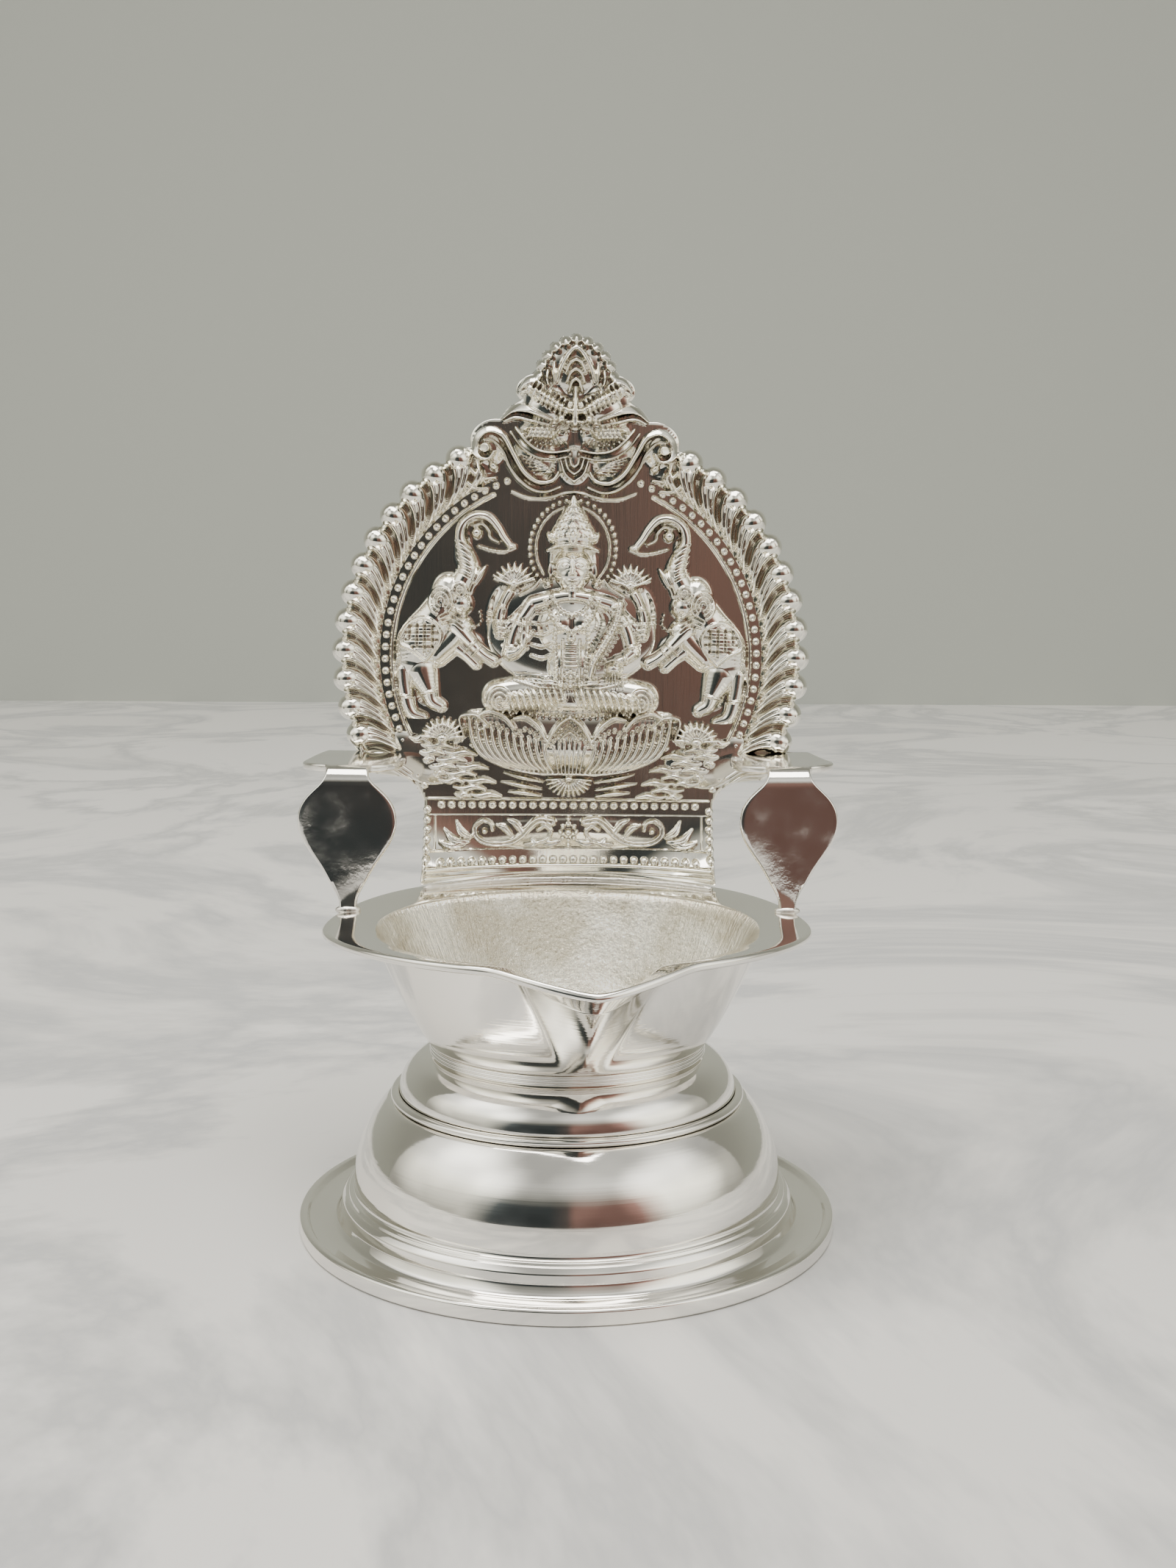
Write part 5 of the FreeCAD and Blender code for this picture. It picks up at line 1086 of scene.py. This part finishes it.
def elephant(side, name):
    """One elephant on its own grid. `side` is -1 for the left one and 1 for the right one, and it multiplies
    all that is drawn across."""
    piece = new_relief(tuple(np.minimum((side * 7.6, 61.4), (side * 26.2, 61.4))),
                       (max(side * 7.6, side * 26.2), 92.0), 0.112)

    def limb(*way, **how):
        """A cord through points (across, level, half width, height), on this elephant's side."""
        cord(piece, [(side * x, y, half, tall) for x, y, half, tall in way], **how)

    # rear legs, body and belly, then the lifted forelegs
    limb((23.5, 68.2, 1.2, 2.0), (23.2, 65.4, 1.2, 1.9), (22.4, 62.4, 1.15, 1.8), (20.6, 61.6, 0.8, 1.6))
    limb((16.9, 72.2, 1.4, 1.9), (14.8, 70.6, 1.0, 1.9), (13.3, 69.2, 0.95, 1.8))
    limb((18.8, 70.4, 1.9, 2.0), (16.8, 72.4, 2.1, 2.3), (15.4, 74.2, 1.9, 2.5))
    limb((21.6, 69.3, 3.0, 2.3), (21.1, 72.0, 3.5, 2.8), (19.3, 75.0, 3.0, 2.9), (17.9, 77.4, 2.6, 2.9))
    limb((21.0, 68.2, 2.5, 2.5), (20.0, 65.8, 1.7, 2.4), (19.4, 64.0, 1.3, 2.2), (18.2, 63.2, 1.05, 2.1))
    limb((16.2, 74.6, 1.7, 2.8), (14.2, 72.4, 1.25, 2.7), (12.3, 70.6, 1.05, 2.6), (10.9, 69.7, 1.05, 2.4))
    # head and trunk, which narrows, lifts over the figure and ends in the pot that it pours from
    dome(piece, (side * 17.3, 79.0), (2.6, 3.1), 3.3)
    dome(piece, (side * 15.5, 77.6), (1.9, 1.9), 3.1)
    limb((15.5, 80.0, 2.0, 3.1), (14.5, 82.4, 1.75, 2.9), (15.1, 84.8, 1.3, 2.6), (15.7, 86.8, 0.98, 2.4),
         (15.2, 88.6, 0.9, 2.3), (13.6, 89.7, 0.85, 2.2), (11.9, 89.6, 0.8, 2.1), (10.6, 88.3, 0.72, 2.0),
         (9.7, 86.9, 0.64, 1.9), (9.0, 86.0, 0.6, 1.8))
    limb((13.8, 88.4, 0.32, 1.5), (12.6, 88.6, 0.38, 1.6), (11.7, 87.7, 0.38, 1.6), (11.5, 86.8, 0.36, 1.5),
         (10.4, 86.2, 0.3, 1.4))
    dome(piece, (side * 13.4, 87.4), 0.95, 2.1)
    dome(piece, (side * 8.5, 85.6), (0.85, 0.6), 2.1)
    for at in (81.8, 82.6, 83.4, 84.2, 85.0, 85.8):
        limb((16.2, at + 0.5, 0.14, -0.5), (15.2, at, 0.16, -0.5), (14.2, at - 0.6, 0.14, -0.4), on=True,
             power=1, steps=3)
    limb((13.4, 80.6, 0.5, 2.8), (12.8, 81.7, 0.6, 2.6), (12.1, 82.8, 0.3, 2.0))
    limb((14.9, 87.6, 0.1, -0.4), (14.4, 88.9, 0.12, -0.4), (12.8, 89.2, 0.12, -0.4), (11.3, 88.4, 0.1, -0.4),
         on=True, power=1, steps=4)
    # ringed eye, curled ear, folds of the mouth
    for radius in (0.5, 0.95):
        limb(*[(15.6 + radius * np.cos(turn), 79.5 + radius * np.sin(turn), 0.15, 0.4)
               for turn in np.radians(np.arange(0, 361, 30))], on=True, steps=2)
    dome(piece, (side * 15.6, 79.5), 0.28, 0.35, on=True)
    for radius in (0.55, 1.1, 1.65):
        limb(*[(18.2 + radius * np.cos(turn), 77.9 + 1.15 * radius * np.sin(turn), 0.17, 0.5)
               for turn in np.radians(np.arange(-70, 231, 30))], on=True, steps=2)
    for drop in (0.0, 0.75, 1.5):
        limb((18.4 - 0.3 * drop, 75.6 - drop * 0.6, 0.16, -0.5),
             (16.8 - 0.2 * drop, 76.3 - drop * 0.8, 0.2, -0.6),
             (15.4 - 0.2 * drop, 75.6 - drop, 0.14, -0.4), on=True, power=1, steps=4)
    dots(piece, [(side * x, y) for x, y in ((15.2, 75.2), (13.6, 74.4), (12.7, 75.2), (12.9, 76.5))], 0.62,
         0.3, 1.9, on=False)
    # the netted saddlecloth: lines engraved both ways inside a leaf-shaped border
    for line in (19.3, 20.4, 21.5, 22.6):
        low = 70.6 + 0.9 * abs(line - 20.3)
        limb((line, low, 0.15, -0.55), (line, 74.9 - 0.35 * abs(line - 20.8), 0.15, -0.55), on=True, power=1,
             steps=2)
    for line, begin, end in ((71.5, 19.3, 22.2), (72.5, 18.7, 23.2), (73.5, 18.6, 23.2), (74.4, 19.0, 22.6)):
        limb((begin, line, 0.15, -0.55), (end, line, 0.15, -0.55), on=True, power=1, steps=2)
    limb((20.3, 69.6, 0.24, 0.5), (18.6, 71.8, 0.24, 0.5), (18.2, 73.4, 0.24, 0.5), (19.3, 75.1, 0.24, 0.5),
         (21.2, 75.5, 0.24, 0.5), (23.1, 74.2, 0.24, 0.5), (23.8, 72.0, 0.24, 0.5), (22.2, 71.1, 0.24, 0.5),
         (20.3, 69.6, 0.24, 0.5), on=True, steps=4)
    # toes, anklets, tail, and the ground line
    for x, y in ((18.0, 63.0), (10.7, 69.5), (13.2, 69.1), (20.4, 61.5)):
        for toe in (-0.62, -0.05, 0.52):
            dome(piece, (side * (x + toe), y - 0.75), 0.3, 0.4, on=True)
    for begin, end in (((18.9, 65.4), (21.6, 64.8)), ((22.0, 64.4), (24.4, 64.8)),
                       ((13.2, 72.6), (14.8, 71.0)), ((12.4, 71.9), (13.9, 70.3))):
        limb((*begin, 0.17, 0.4), (*end, 0.17, 0.4), on=True, steps=2)
    limb((24.3, 69.8, 0.3, 1.5), (24.9, 67.4, 0.28, 1.3), (24.8, 65.4, 0.42, 1.3))
    limb((13.2, 85.6, 0.36, 1.4), (11.4, 85.1, 0.4, 1.5), (9.6, 84.9, 0.36, 1.4), (8.6, 85.2, 0.3, 1.3))
    dots(piece, [(side * 13.0, 85.6), (side * 11.2, 85.05), (side * 9.0, 85.0)], 0.62, 0.27, 0.4)
    finish_relief(name, piece)


elephant(-1, "left_elephant")
elephant(1, "right_elephant")


# ---------------------------------------------------------------- back plate: the foot panel's ornament
# Between two rows of beads the foot panel carries a scroll of leaves, the same to the left and right of a
# flower of beads in the middle, and below it plain moulding lines.

panel = new_relief((-20.2, 39.3), (20.21, 50.6), 0.13)
for level, half, tall in ((50.15, 0.22, 0.5), (47.95, 0.18, 0.4), (43.15, 0.18, 0.4), (40.75, 0.32, 0.6),
                          (39.75, 0.2, 0.45)):
    cord(panel, [(-19.9, level, half, tall), (19.9, level, half, tall)], steps=1)
cord(panel, [(18.9, 43.2, 0.2, 0.4), (18.9, 47.9, 0.2, 0.4)], both=True, steps=1)
scroll_way = [(2.3, 47.0), (4.2, 47.2), (5.5, 46.3), (6.6, 45.1), (8.0, 44.2), (9.8, 43.9), (11.8, 44.1),
              (13.1, 45.0), (13.2, 46.3), (12.2, 47.1), (11.1, 46.8), (10.8, 45.9)]
cord(panel, [(*point, 0.72 - 0.03 * index, 1.25) for index, point in enumerate(scroll_way)], both=True,
     power=0.7)
cord(panel, [(*point, 0.2, -0.45) for point in scroll_way[:-2]], on=True, power=1, both=True)
cord(panel, [(4.3, 45.9, 0.4, 1.0), (3.3, 46.4, 0.42, 1.0), (2.5, 45.6, 0.42, 1.0), (3.0, 44.6, 0.42, 1.0),
             (4.5, 44.0, 0.46, 1.0), (6.2, 43.8, 0.3, 0.8)], both=True, power=0.7)
dome(panel, (11.9, 45.7), 0.5, 1.3, both=True)
for turn in np.radians(np.arange(0, 360, 45)):
    dome(panel, (1.12 * np.cos(turn), 45.5 + 1.12 * np.sin(turn)), 0.42, 1.15)
dome(panel, (0, 45.5), 0.62, 1.4)
for foot, bend, tip in (((6.6, 45.4), (7.4, 46.6), (8.6, 47.3)), ((8.0, 44.8), (8.9, 46.0), (10.2, 46.5)),
                        ((13.9, 44.8), (15.2, 45.6), (15.9, 47.1)),
                        ((14.2, 44.2), (16.2, 44.5), (17.6, 46.0)),
                        ((14.8, 43.8), (16.6, 43.7), (18.2, 44.3)), ((1.2, 44.2), (2.6, 43.9), (4.4, 44.2)),
                        ((5.2, 44.5), (4.9, 43.9), (6.2, 43.7))):
    cord(panel, [(*foot, 0.34, 0.8), (*bend, 0.6, 1.15), (*tip, 0.22, 0.7)], both=True, steps=4)
    cord(panel, [(*foot, 0.1, -0.2), (*bend, 0.12, -0.28), (*tip, 0.08, -0.15)], on=True, power=1, both=True,
         steps=4)
dots(panel, [(0, 43.7), (0, 47.4)], 3.6, 0.42, 1.1, on=False)
finish_relief("panel_scroll", panel)


# ---------------------------------------------------------------- side straps
# Each is one strip of 1 mm silver, cut out, filed round along its edges and bent: a narrow foot soldered on
# the rim's ear, a spade-shaped blade, a quarter bend, and a flat disc that reaches back to the plate.

def hand_polished_silver():
    """The straps' silver: polished by hand, with soft smears, small marks and a few dull patches."""
    material, shader, place = new_metal("hand_polished_silver", "efece6", 0.06)
    # smears about 4 mm across, and small marks about 0.7 mm apart
    smear = node(material, "ShaderNodeTexNoise", links=[("Vector", place)], Scale=260.0, Detail=5.0)
    spots = node(material, "ShaderNodeTexNoise", links=[("Vector", place)], Scale=1500.0, Detail=2.0)
    rough = node(material, "ShaderNodeValToRGB", links=[("Fac", smear.outputs["Fac"])],
                 stops=[(0.35, 0.05), (0.6, 0.1), (0.75, 0.2)])
    material.node_tree.links.new(rough.outputs["Color"], shader.inputs["Roughness"])
    fine = node(material, "ShaderNodeBump", links=[("Height", spots.outputs["Fac"])], Strength=0.05,
                Distance=0.0001)
    bump = node(material, "ShaderNodeBump", links=[("Height", smear.outputs["Fac"]),
                                                   ("Normal", fine.outputs["Normal"])],
                Strength=0.06, Distance=0.0003)
    material.node_tree.links.new(bump.outputs["Normal"], shader.inputs["Normal"])
    return material


strap_silver = hand_polished_silver()
STRAP_MIDDLE, STRAP_FRONT, STRAP_FOOT, HALF_STRIP = 28.7, 7.0, 38.3, 0.5
BEND_LEVEL, BEND_INSIDE = 54.5, 1.5
BEND_REAR = STRAP_FRONT + BEND_INSIDE + 2 * HALF_STRIP
DISC_MIDDLE, DISC_HALF, DISC_REAR_HALF, DISC_REAR = 15.5, 6.8, 5.44, 28.45

# half width of the strip at distances along it: the foot, the blade, the bend, the disc
blade_widths = smooth_way([(STRAP_FOOT, 1.12), (39.4, 1.2), (40.4, 1.55), (42.2, 2.55), (44.0, 3.6),
                           (45.8, 4.85),
                           (47.3, 5.75), (48.8, 6.3), (50.2, 6.38), (51.6, 6.1), (52.9, 5.35), (54.0, 4.3),
                           (54.9, 3.35), (55.7, 2.85), (56.7, 2.75), (57.4, 2.9)], 6)
bend_length = np.pi / 2 * (BEND_INSIDE + HALF_STRIP)
disc_start = BEND_LEVEL + bend_length
disc_swing = np.radians(np.linspace(26, 90, 22))
disc_front_line = np.stack([disc_start + DISC_MIDDLE - BEND_REAR - DISC_HALF * np.cos(disc_swing),
                            DISC_HALF * np.sin(disc_swing)], 1)
disc_rear_line = smooth_way([(disc_start + 6.0, 6.8), (disc_start + 8.6, 6.74), (disc_start + 12.0, 6.42),
                             (disc_start + 15.6, 5.93),
                             (disc_start + DISC_REAR - BEND_REAR, DISC_REAR_HALF)], 6)
width_line = np.vstack([blade_widths[blade_widths[:, 0] < disc_front_line[0, 0] - 0.05], disc_front_line,
                        disc_rear_line[1:]])


def strip_places(along, across, out):
    """Points of the bent strip: up along z to the bend, round a quarter circle, then back along y."""
    turn = np.clip((along - BEND_LEVEL) / bend_length, 0, 1) * np.pi / 2
    radius = BEND_INSIDE + HALF_STRIP + out
    up = np.minimum(along, BEND_LEVEL)
    back = np.maximum(along - disc_start, 0)
    depth = BEND_REAR - radius * np.cos(turn) + back
    return np.stack([across + 0 * depth, depth, up + radius * np.sin(turn)], -1)


# the strip's section, as shares of its half width and distances from there, with filed corners
corner_round = 0.3
quarter = np.radians(np.linspace(0, 90, 5))
half_section = np.concatenate([
    np.stack([np.linspace(0, 1, 9)[:-1], np.zeros(8), np.full(8, HALF_STRIP)], 1),
    np.stack([np.ones(5), -corner_round + corner_round * np.sin(quarter),
              HALF_STRIP - corner_round + corner_round * np.cos(quarter)], 1)])
section_share = np.concatenate([half_section, (half_section * [1, 1, -1])[::-1],
                                (half_section * [-1, -1, -1])[1:], (half_section * [-1, -1, 1])[::-1][:-1]])
strip_along = np.concatenate([np.linspace(STRAP_FOOT, BEND_LEVEL, 58),
                              np.linspace(BEND_LEVEL, disc_start, 14)[1:-1],
                              np.linspace(disc_start, width_line[-1, 0], 74)])
half_width = np.interp(strip_along, width_line[:, 0], width_line[:, 1])
for side, side_name in ((-1, "left"), (1, "right")):
    across = section_share[:, 0] * half_width[:, None] + section_share[:, 1]
    # bent by hand: the blade bows by a tenth of a millimetre and its edges stay a little high
    bow = 0.10 * np.sin((strip_along[:, None] - STRAP_FOOT) / 3.1 + side) * (across / 6.0)
    places = strip_places(strip_along[:, None], across, section_share[:, 2] + bow)
    places[..., 0] += side * STRAP_MIDDLE
    rows, columns = places.shape[:2]
    row, column = np.meshgrid(np.arange(rows - 1), np.arange(columns), indexing="ij")
    following = (column + 1) % columns
    quads = np.stack([row * columns + column, (row + 1) * columns + column,
                      (row + 1) * columns + following, row * columns + following], 2).reshape(-1, 4)
    ends = np.array([places[0].mean(0), places[-1].mean(0)])
    one = np.arange(columns)
    caps = np.vstack([np.stack([np.full(columns, rows * columns), one, (one + 1) % columns], 1),
                      np.stack([np.full(columns, rows * columns + 1),
                                (rows - 1) * columns + (one + 1) % columns, (rows - 1) * columns + one], 1)])
    lay_mesh(side_name + "_bent_strap", np.vstack([places.reshape(-1, 3), ends]),
             np.vstack([quads[:, [0, 1, 2]], quads[:, [0, 2, 3]], caps]), strap_silver,
             [side_name + "_side_strap"])


# ---------------------------------------------------------------- solder
# Hard silver solder, filed smooth but duller and a little greyer than the sheet. It fills the corner along
# the plate's foot, lies in a drop round each strap's foot, and joins each disc to the plate.

def silver_solder():
    """Filed solder: dull silver with small lumps and file marks."""
    material, shader, place = new_metal("filed_silver_solder", "dcd8d0", 0.32)
    # lumps about 0.7 mm apart
    lumps = node(material, "ShaderNodeTexNoise", links=[("Vector", place)], Scale=1400.0, Detail=4.0)
    rough = node(material, "ShaderNodeValToRGB", links=[("Fac", lumps.outputs["Fac"])],
                 stops=[(0.35, 0.24), (0.7, 0.5)])
    material.node_tree.links.new(rough.outputs["Color"], shader.inputs["Roughness"])
    bump = node(material, "ShaderNodeBump", links=[("Height", lumps.outputs["Fac"])], Strength=0.4,
                Distance=0.0002)
    material.node_tree.links.new(bump.outputs["Normal"], shader.inputs["Normal"])
    return material


solder = silver_solder()


def solder_run(name, line, radii, squash, replaced):
    """A run of solder along a line: round sections of the given radii, squashed in height, closed by a point
    at each end. The radius swells and narrows along the run as solder does."""
    line, radii = np.array(line, float), np.array(radii, float)
    ahead = np.gradient(line, axis=0)
    ahead /= np.linalg.norm(ahead, axis=1)[:, None]
    sideways = np.cross(ahead, [0, 0, 1.0])
    sideways /= np.linalg.norm(sideways, axis=1)[:, None]
    upward = np.cross(sideways, ahead)
    around = 16
    turn = np.linspace(0, 2 * np.pi, around, endpoint=False)
    cosine, sine = np.cos(turn)[None, :, None], np.sin(turn)[None, :, None]
    places = line[:, None] + radii[:, None, None] * (
        cosine * sideways[:, None] + squash * sine * upward[:, None])
    row, column = np.meshgrid(np.arange(len(line) - 1), np.arange(around), indexing="ij")
    following = (column + 1) % around
    quads = np.stack([row * around + column, row * around + following, (row + 1) * around + following,
                      (row + 1) * around + column], 2).reshape(-1, 4)
    one = np.arange(around)
    last = (len(line) - 1) * around
    first_point, last_point = len(line) * around, len(line) * around + 1
    caps = np.vstack([np.stack([np.full(around, first_point), (one + 1) % around, one], 1),
                      np.stack([np.full(around, last_point), last + one, last + (one + 1) % around], 1)])
    lay_mesh(name, np.vstack([places.reshape(-1, 3), line[:1], line[-1:]]),
             np.vstack([quads[:, [0, 1, 2]], quads[:, [0, 2, 3]], caps]), solder, replaced)


def wander(count, size, smooth):
    """A soft random line about 0: noise from the seeded generator, averaged over neighbours."""
    rough = rng.normal(size=count + smooth)
    return size * np.convolve(rough, np.ones(smooth) / np.sqrt(smooth), "valid")[:count]


FOOT_POINTS, DROP_POINTS, SEAM_POINTS = 150, 28, 60
foot_across = np.linspace(-19.9, 19.9, FOOT_POINTS)
foot_line = on_plate(foot_across, np.full(FOOT_POINTS, 38.75), np.full(FOOT_POINTS, 0.12))
foot_line[:, 2] += wander(FOOT_POINTS, 0.03, 9)
ends = np.clip(np.minimum(foot_across + 20.3, 20.3 - foot_across) / 1.2, 0.25, 1) ** 0.5
foot_radii = (0.46 + wander(FOOT_POINTS, 0.03, 7)) * ends
solder_run("plate_foot_seam", foot_line, foot_radii, 0.9, ["plate_foot_solder"])
for side, side_name in ((-1, "left"), (1, "right")):
    drop_across = np.linspace(-1.62, 1.62, DROP_POINTS)
    drop_line = np.stack([side * STRAP_MIDDLE + drop_across, np.full(DROP_POINTS, STRAP_FRONT + HALF_STRIP),
                          np.full(DROP_POINTS, 38.22)], 1)
    drop_radii = 0.84 * np.sqrt(np.maximum(1 - (drop_across / 1.68) ** 2, 0.02))
    drop_radii += wander(DROP_POINTS, 0.015, 5)
    solder_run(side_name + "_strap_foot_drop", drop_line, drop_radii, 0.75,
               [side_name + "_strap_foot_solder"])
    seam_across = np.linspace(-4.0, 4.0, SEAM_POINTS)
    seam_line = np.stack([side * STRAP_MIDDLE + seam_across, np.full(SEAM_POINTS, 28.3),
                          np.full(SEAM_POINTS, 56.45)], 1)
    seam_line[:, 2] += wander(SEAM_POINTS, 0.03, 7)
    seam_radii = 0.6 + wander(SEAM_POINTS, 0.02, 5)
    seam_radii *= np.clip((4.15 - np.abs(seam_across)) / 0.8, 0.2, 1) ** 0.5
    solder_run(side_name + "_disc_seam", seam_line, seam_radii, 1.0, [side_name + "_disc_solder"])


# ---------------------------------------------------------------- table, light and camera
# A pale marble table, a plain grey wall, a room with two soft windows, one soft panel of light overhead,
# and the photograph's view.

def stage_material(name, colour, roughness):
    """A matt paint for what isn't part of the lamp."""
    material = bpy.data.materials.new(name)
    material.use_nodes = True
    shader = material.node_tree.nodes["Principled BSDF"]
    shader.inputs["Base Color"].default_value = linear(colour)
    shader.inputs["Roughness"].default_value = roughness
    return material


def stage_sheet(name, corners, material):
    """A flat sheet of the stage."""
    mesh = bpy.data.meshes.new(name)
    mesh.from_pydata(corners, [], [(0, 1, 2, 3)])
    made = bpy.data.objects.new(name, mesh)
    bpy.context.scene.collection.objects.link(made)
    mesh.materials.append(material)


# the table is pale marble, and its front edge lies just behind the camera, so that the upright mirrors of
# the plate and the straps see the dark room beyond it
marble = stage_material("pale_marble", "e2e0dd", 0.35)
marble_place = node(marble, "ShaderNodeTexCoord")
# veins about 200 mm apart
vein = node(marble, "ShaderNodeTexNoise", links=[("Vector", marble_place.outputs["Object"])], Scale=5.0,
            Detail=7.0, Roughness=0.62, Distortion=1.4)
vein_tint = node(marble, "ShaderNodeValToRGB", links=[("Fac", vein.outputs["Fac"])],
                 stops=[(0.44, "dedcd9"), (0.5, "bdbdbd"), (0.56, "e2e0dd")])
marble.node_tree.links.new(vein_tint.outputs["Color"],
                           marble.node_tree.nodes["Principled BSDF"].inputs["Base Color"])
TABLE_FRONT, WALL_PLACE = -0.225, 0.95
stage_sheet("marble_table", [(-3, TABLE_FRONT, 0), (3, TABLE_FRONT, 0), (3, WALL_PLACE, 0),
                             (-3, WALL_PLACE, 0)], marble)
stage_sheet("grey_wall", [(-3, WALL_PLACE, -0.5), (3, WALL_PLACE, -0.5), (3, WALL_PLACE, 2.5),
                          (-3, WALL_PLACE, 2.5)], stage_material("grey_wall_paint", "b0b4ad", 0.9))

world = bpy.data.worlds.new("studio")
bpy.context.scene.world = world
world.use_nodes = True
background = world.node_tree.nodes["Background"]
direction = node(world, "ShaderNodeTexCoord")
apart = node(world, "ShaderNodeSeparateXYZ", links=[("Vector", direction.outputs["Generated"])])


def room_colours(axis, lowest, highest, stops):
    """The room's colours along an axis of the direction looked in: its number, as a share of the way from the
    lowest to the highest, lies between two stops and takes their mixed colour."""
    share = node(world, "ShaderNodeMapRange", links=[("Value", apart.outputs[axis])], From_Min=lowest,
                 From_Max=highest)
    colours = node(world, "ShaderNodeValToRGB", links=[("Fac", share.outputs["Result"])], stops=stops)
    return colours.outputs["Color"]


# a room with pale walls and a white ceiling; in front of the lamp it is dark, grey to the left and reddish
# brown to the right, which the upright mirrors show
room = room_colours("Z", -1.0, 1.0, [(0.0, "55534f"), (0.5, "a5a398"), (0.68, "dbd9cb"), (0.8, "fbfaf2"),
                                     (1.0, "fbfaf2")])
dark = room_colours("X", -0.3, 0.3, [(0.25, "4b5050"), (0.5, "5c5551"), (0.62, "8c6d64"), (1.0, "7c5f57")])
in_front = room_colours("Y", -1.0, -0.5, [(0.0, "ffffff"), (0.45, "ffffff"), (0.9, "000000")])
below = room_colours("Z", 0.3, 0.6, [(0.0, "ffffff"), (1.0, "000000")])
# the dark colours show only where a direction is both in front and low
both_ways = node(world, "ShaderNodeMix", links=[("A", in_front), ("B", below)], data_type="RGBA",
                 blend_type="MULTIPLY", Factor=1.0)
surroundings = node(world, "ShaderNodeMix", data_type="RGBA",
                    links=[("Factor", both_ways.outputs["Result"]), ("A", room), ("B", dark)])
world.node_tree.links.new(surroundings.outputs["Result"], background.inputs["Color"])


def glow(toward, edge, brightness):
    """A soft round brightness in one direction. It rises in a smooth step of the cosine to that direction,
    from 0.5 at `edge` to the full brightness in the middle."""
    aligned = node(world, "ShaderNodeVectorMath", operation="DOT_PRODUCT",
                   links=[("Vector", direction.outputs["Generated"])])
    aligned.inputs[1].default_value = Vector(toward).normalized()
    glowing = node(world, "ShaderNodeMapRange", links=[("Value", aligned.outputs["Value"])],
                   interpolation_type="SMOOTHERSTEP", From_Min=edge, To_Min=0.5, To_Max=brightness)
    return glowing.outputs["Result"]


# two windows without hard edges, a wide one to the left and a smaller one to the right
windows = node(world, "ShaderNodeMath", operation="ADD")
world.node_tree.links.new(glow((-0.8, -0.3, 0.42), 0.72, 3.0), windows.inputs[0])
world.node_tree.links.new(glow((0.8, -0.42, 0.34), 0.8, 2.6), windows.inputs[1])
# the room's furniture and corners, as soft lighter and darker patches
clutter = node(world, "ShaderNodeTexNoise", links=[("Vector", direction.outputs["Generated"])], Scale=1.5,
               Detail=1.5)
patches = node(world, "ShaderNodeMapRange", links=[("Value", clutter.outputs["Fac"])], From_Min=0.35,
               From_Max=0.65, To_Min=0.55, To_Max=1.2)
lit = node(world, "ShaderNodeMath", operation="MULTIPLY",
           links=[(0, windows.outputs["Value"]), (1, patches.outputs["Result"])])
world.node_tree.links.new(lit.outputs["Value"], background.inputs["Strength"])


def soft_light(name, place, target, width, height, watts):
    """A rectangular lamp at a place in metres that points at the target."""
    light = bpy.data.lights.new(name, "AREA")
    light.shape = "RECTANGLE"
    light.size, light.size_y = width, height
    light.energy = watts
    light.color = (1.0, 0.97, 0.93)
    made = bpy.data.objects.new(name, light)
    made.location = place
    made.rotation_euler = (Vector(target) - Vector(place)).to_track_quat("-Z", "Y").to_euler()
    bpy.context.scene.collection.objects.link(made)


soft_light("ceiling_panel", (-0.05, -0.1, 0.9), (0, 0, 0.05), 0.7, 0.5, 9.0)

# the view: camera place in millimetres, then pitch, yaw and roll in radians, and focal length in pixels
CAMERA_BACK, CAMERA_HEIGHT = 210.08, 80.41
PITCH, YAW, ROLL = 0.116937, 0.011632, 0.005236
FOCAL_PIXELS, FRAME_HEIGHT_PIXELS, SENSOR_HEIGHT = 2300.0, 2133.0, 36.0
forward = Vector((np.sin(YAW) * np.cos(PITCH), np.cos(YAW) * np.cos(PITCH), -np.sin(PITCH)))
level_right = Vector((np.cos(YAW), -np.sin(YAW), 0.0))
level_up = level_right.cross(forward)
right = level_right * np.cos(ROLL) + level_up * np.sin(ROLL)
up = level_up * np.cos(ROLL) - level_right * np.sin(ROLL)
camera_data = bpy.data.cameras.new("camera")
camera_data.sensor_fit = "VERTICAL"
camera_data.sensor_height = SENSOR_HEIGHT
camera_data.lens = SENSOR_HEIGHT * FOCAL_PIXELS / FRAME_HEIGHT_PIXELS
camera_data.clip_start = 0.01
camera = bpy.data.objects.new("camera", camera_data)
bpy.context.scene.collection.objects.link(camera)
camera.matrix_world = Matrix((
    (right.x, up.x, -forward.x, 0.0),
    (right.y, up.y, -forward.y, -CAMERA_BACK * MM),
    (right.z, up.z, -forward.z, CAMERA_HEIGHT * MM),
    (0.0, 0.0, 0.0, 1.0)))
bpy.context.scene.camera = camera
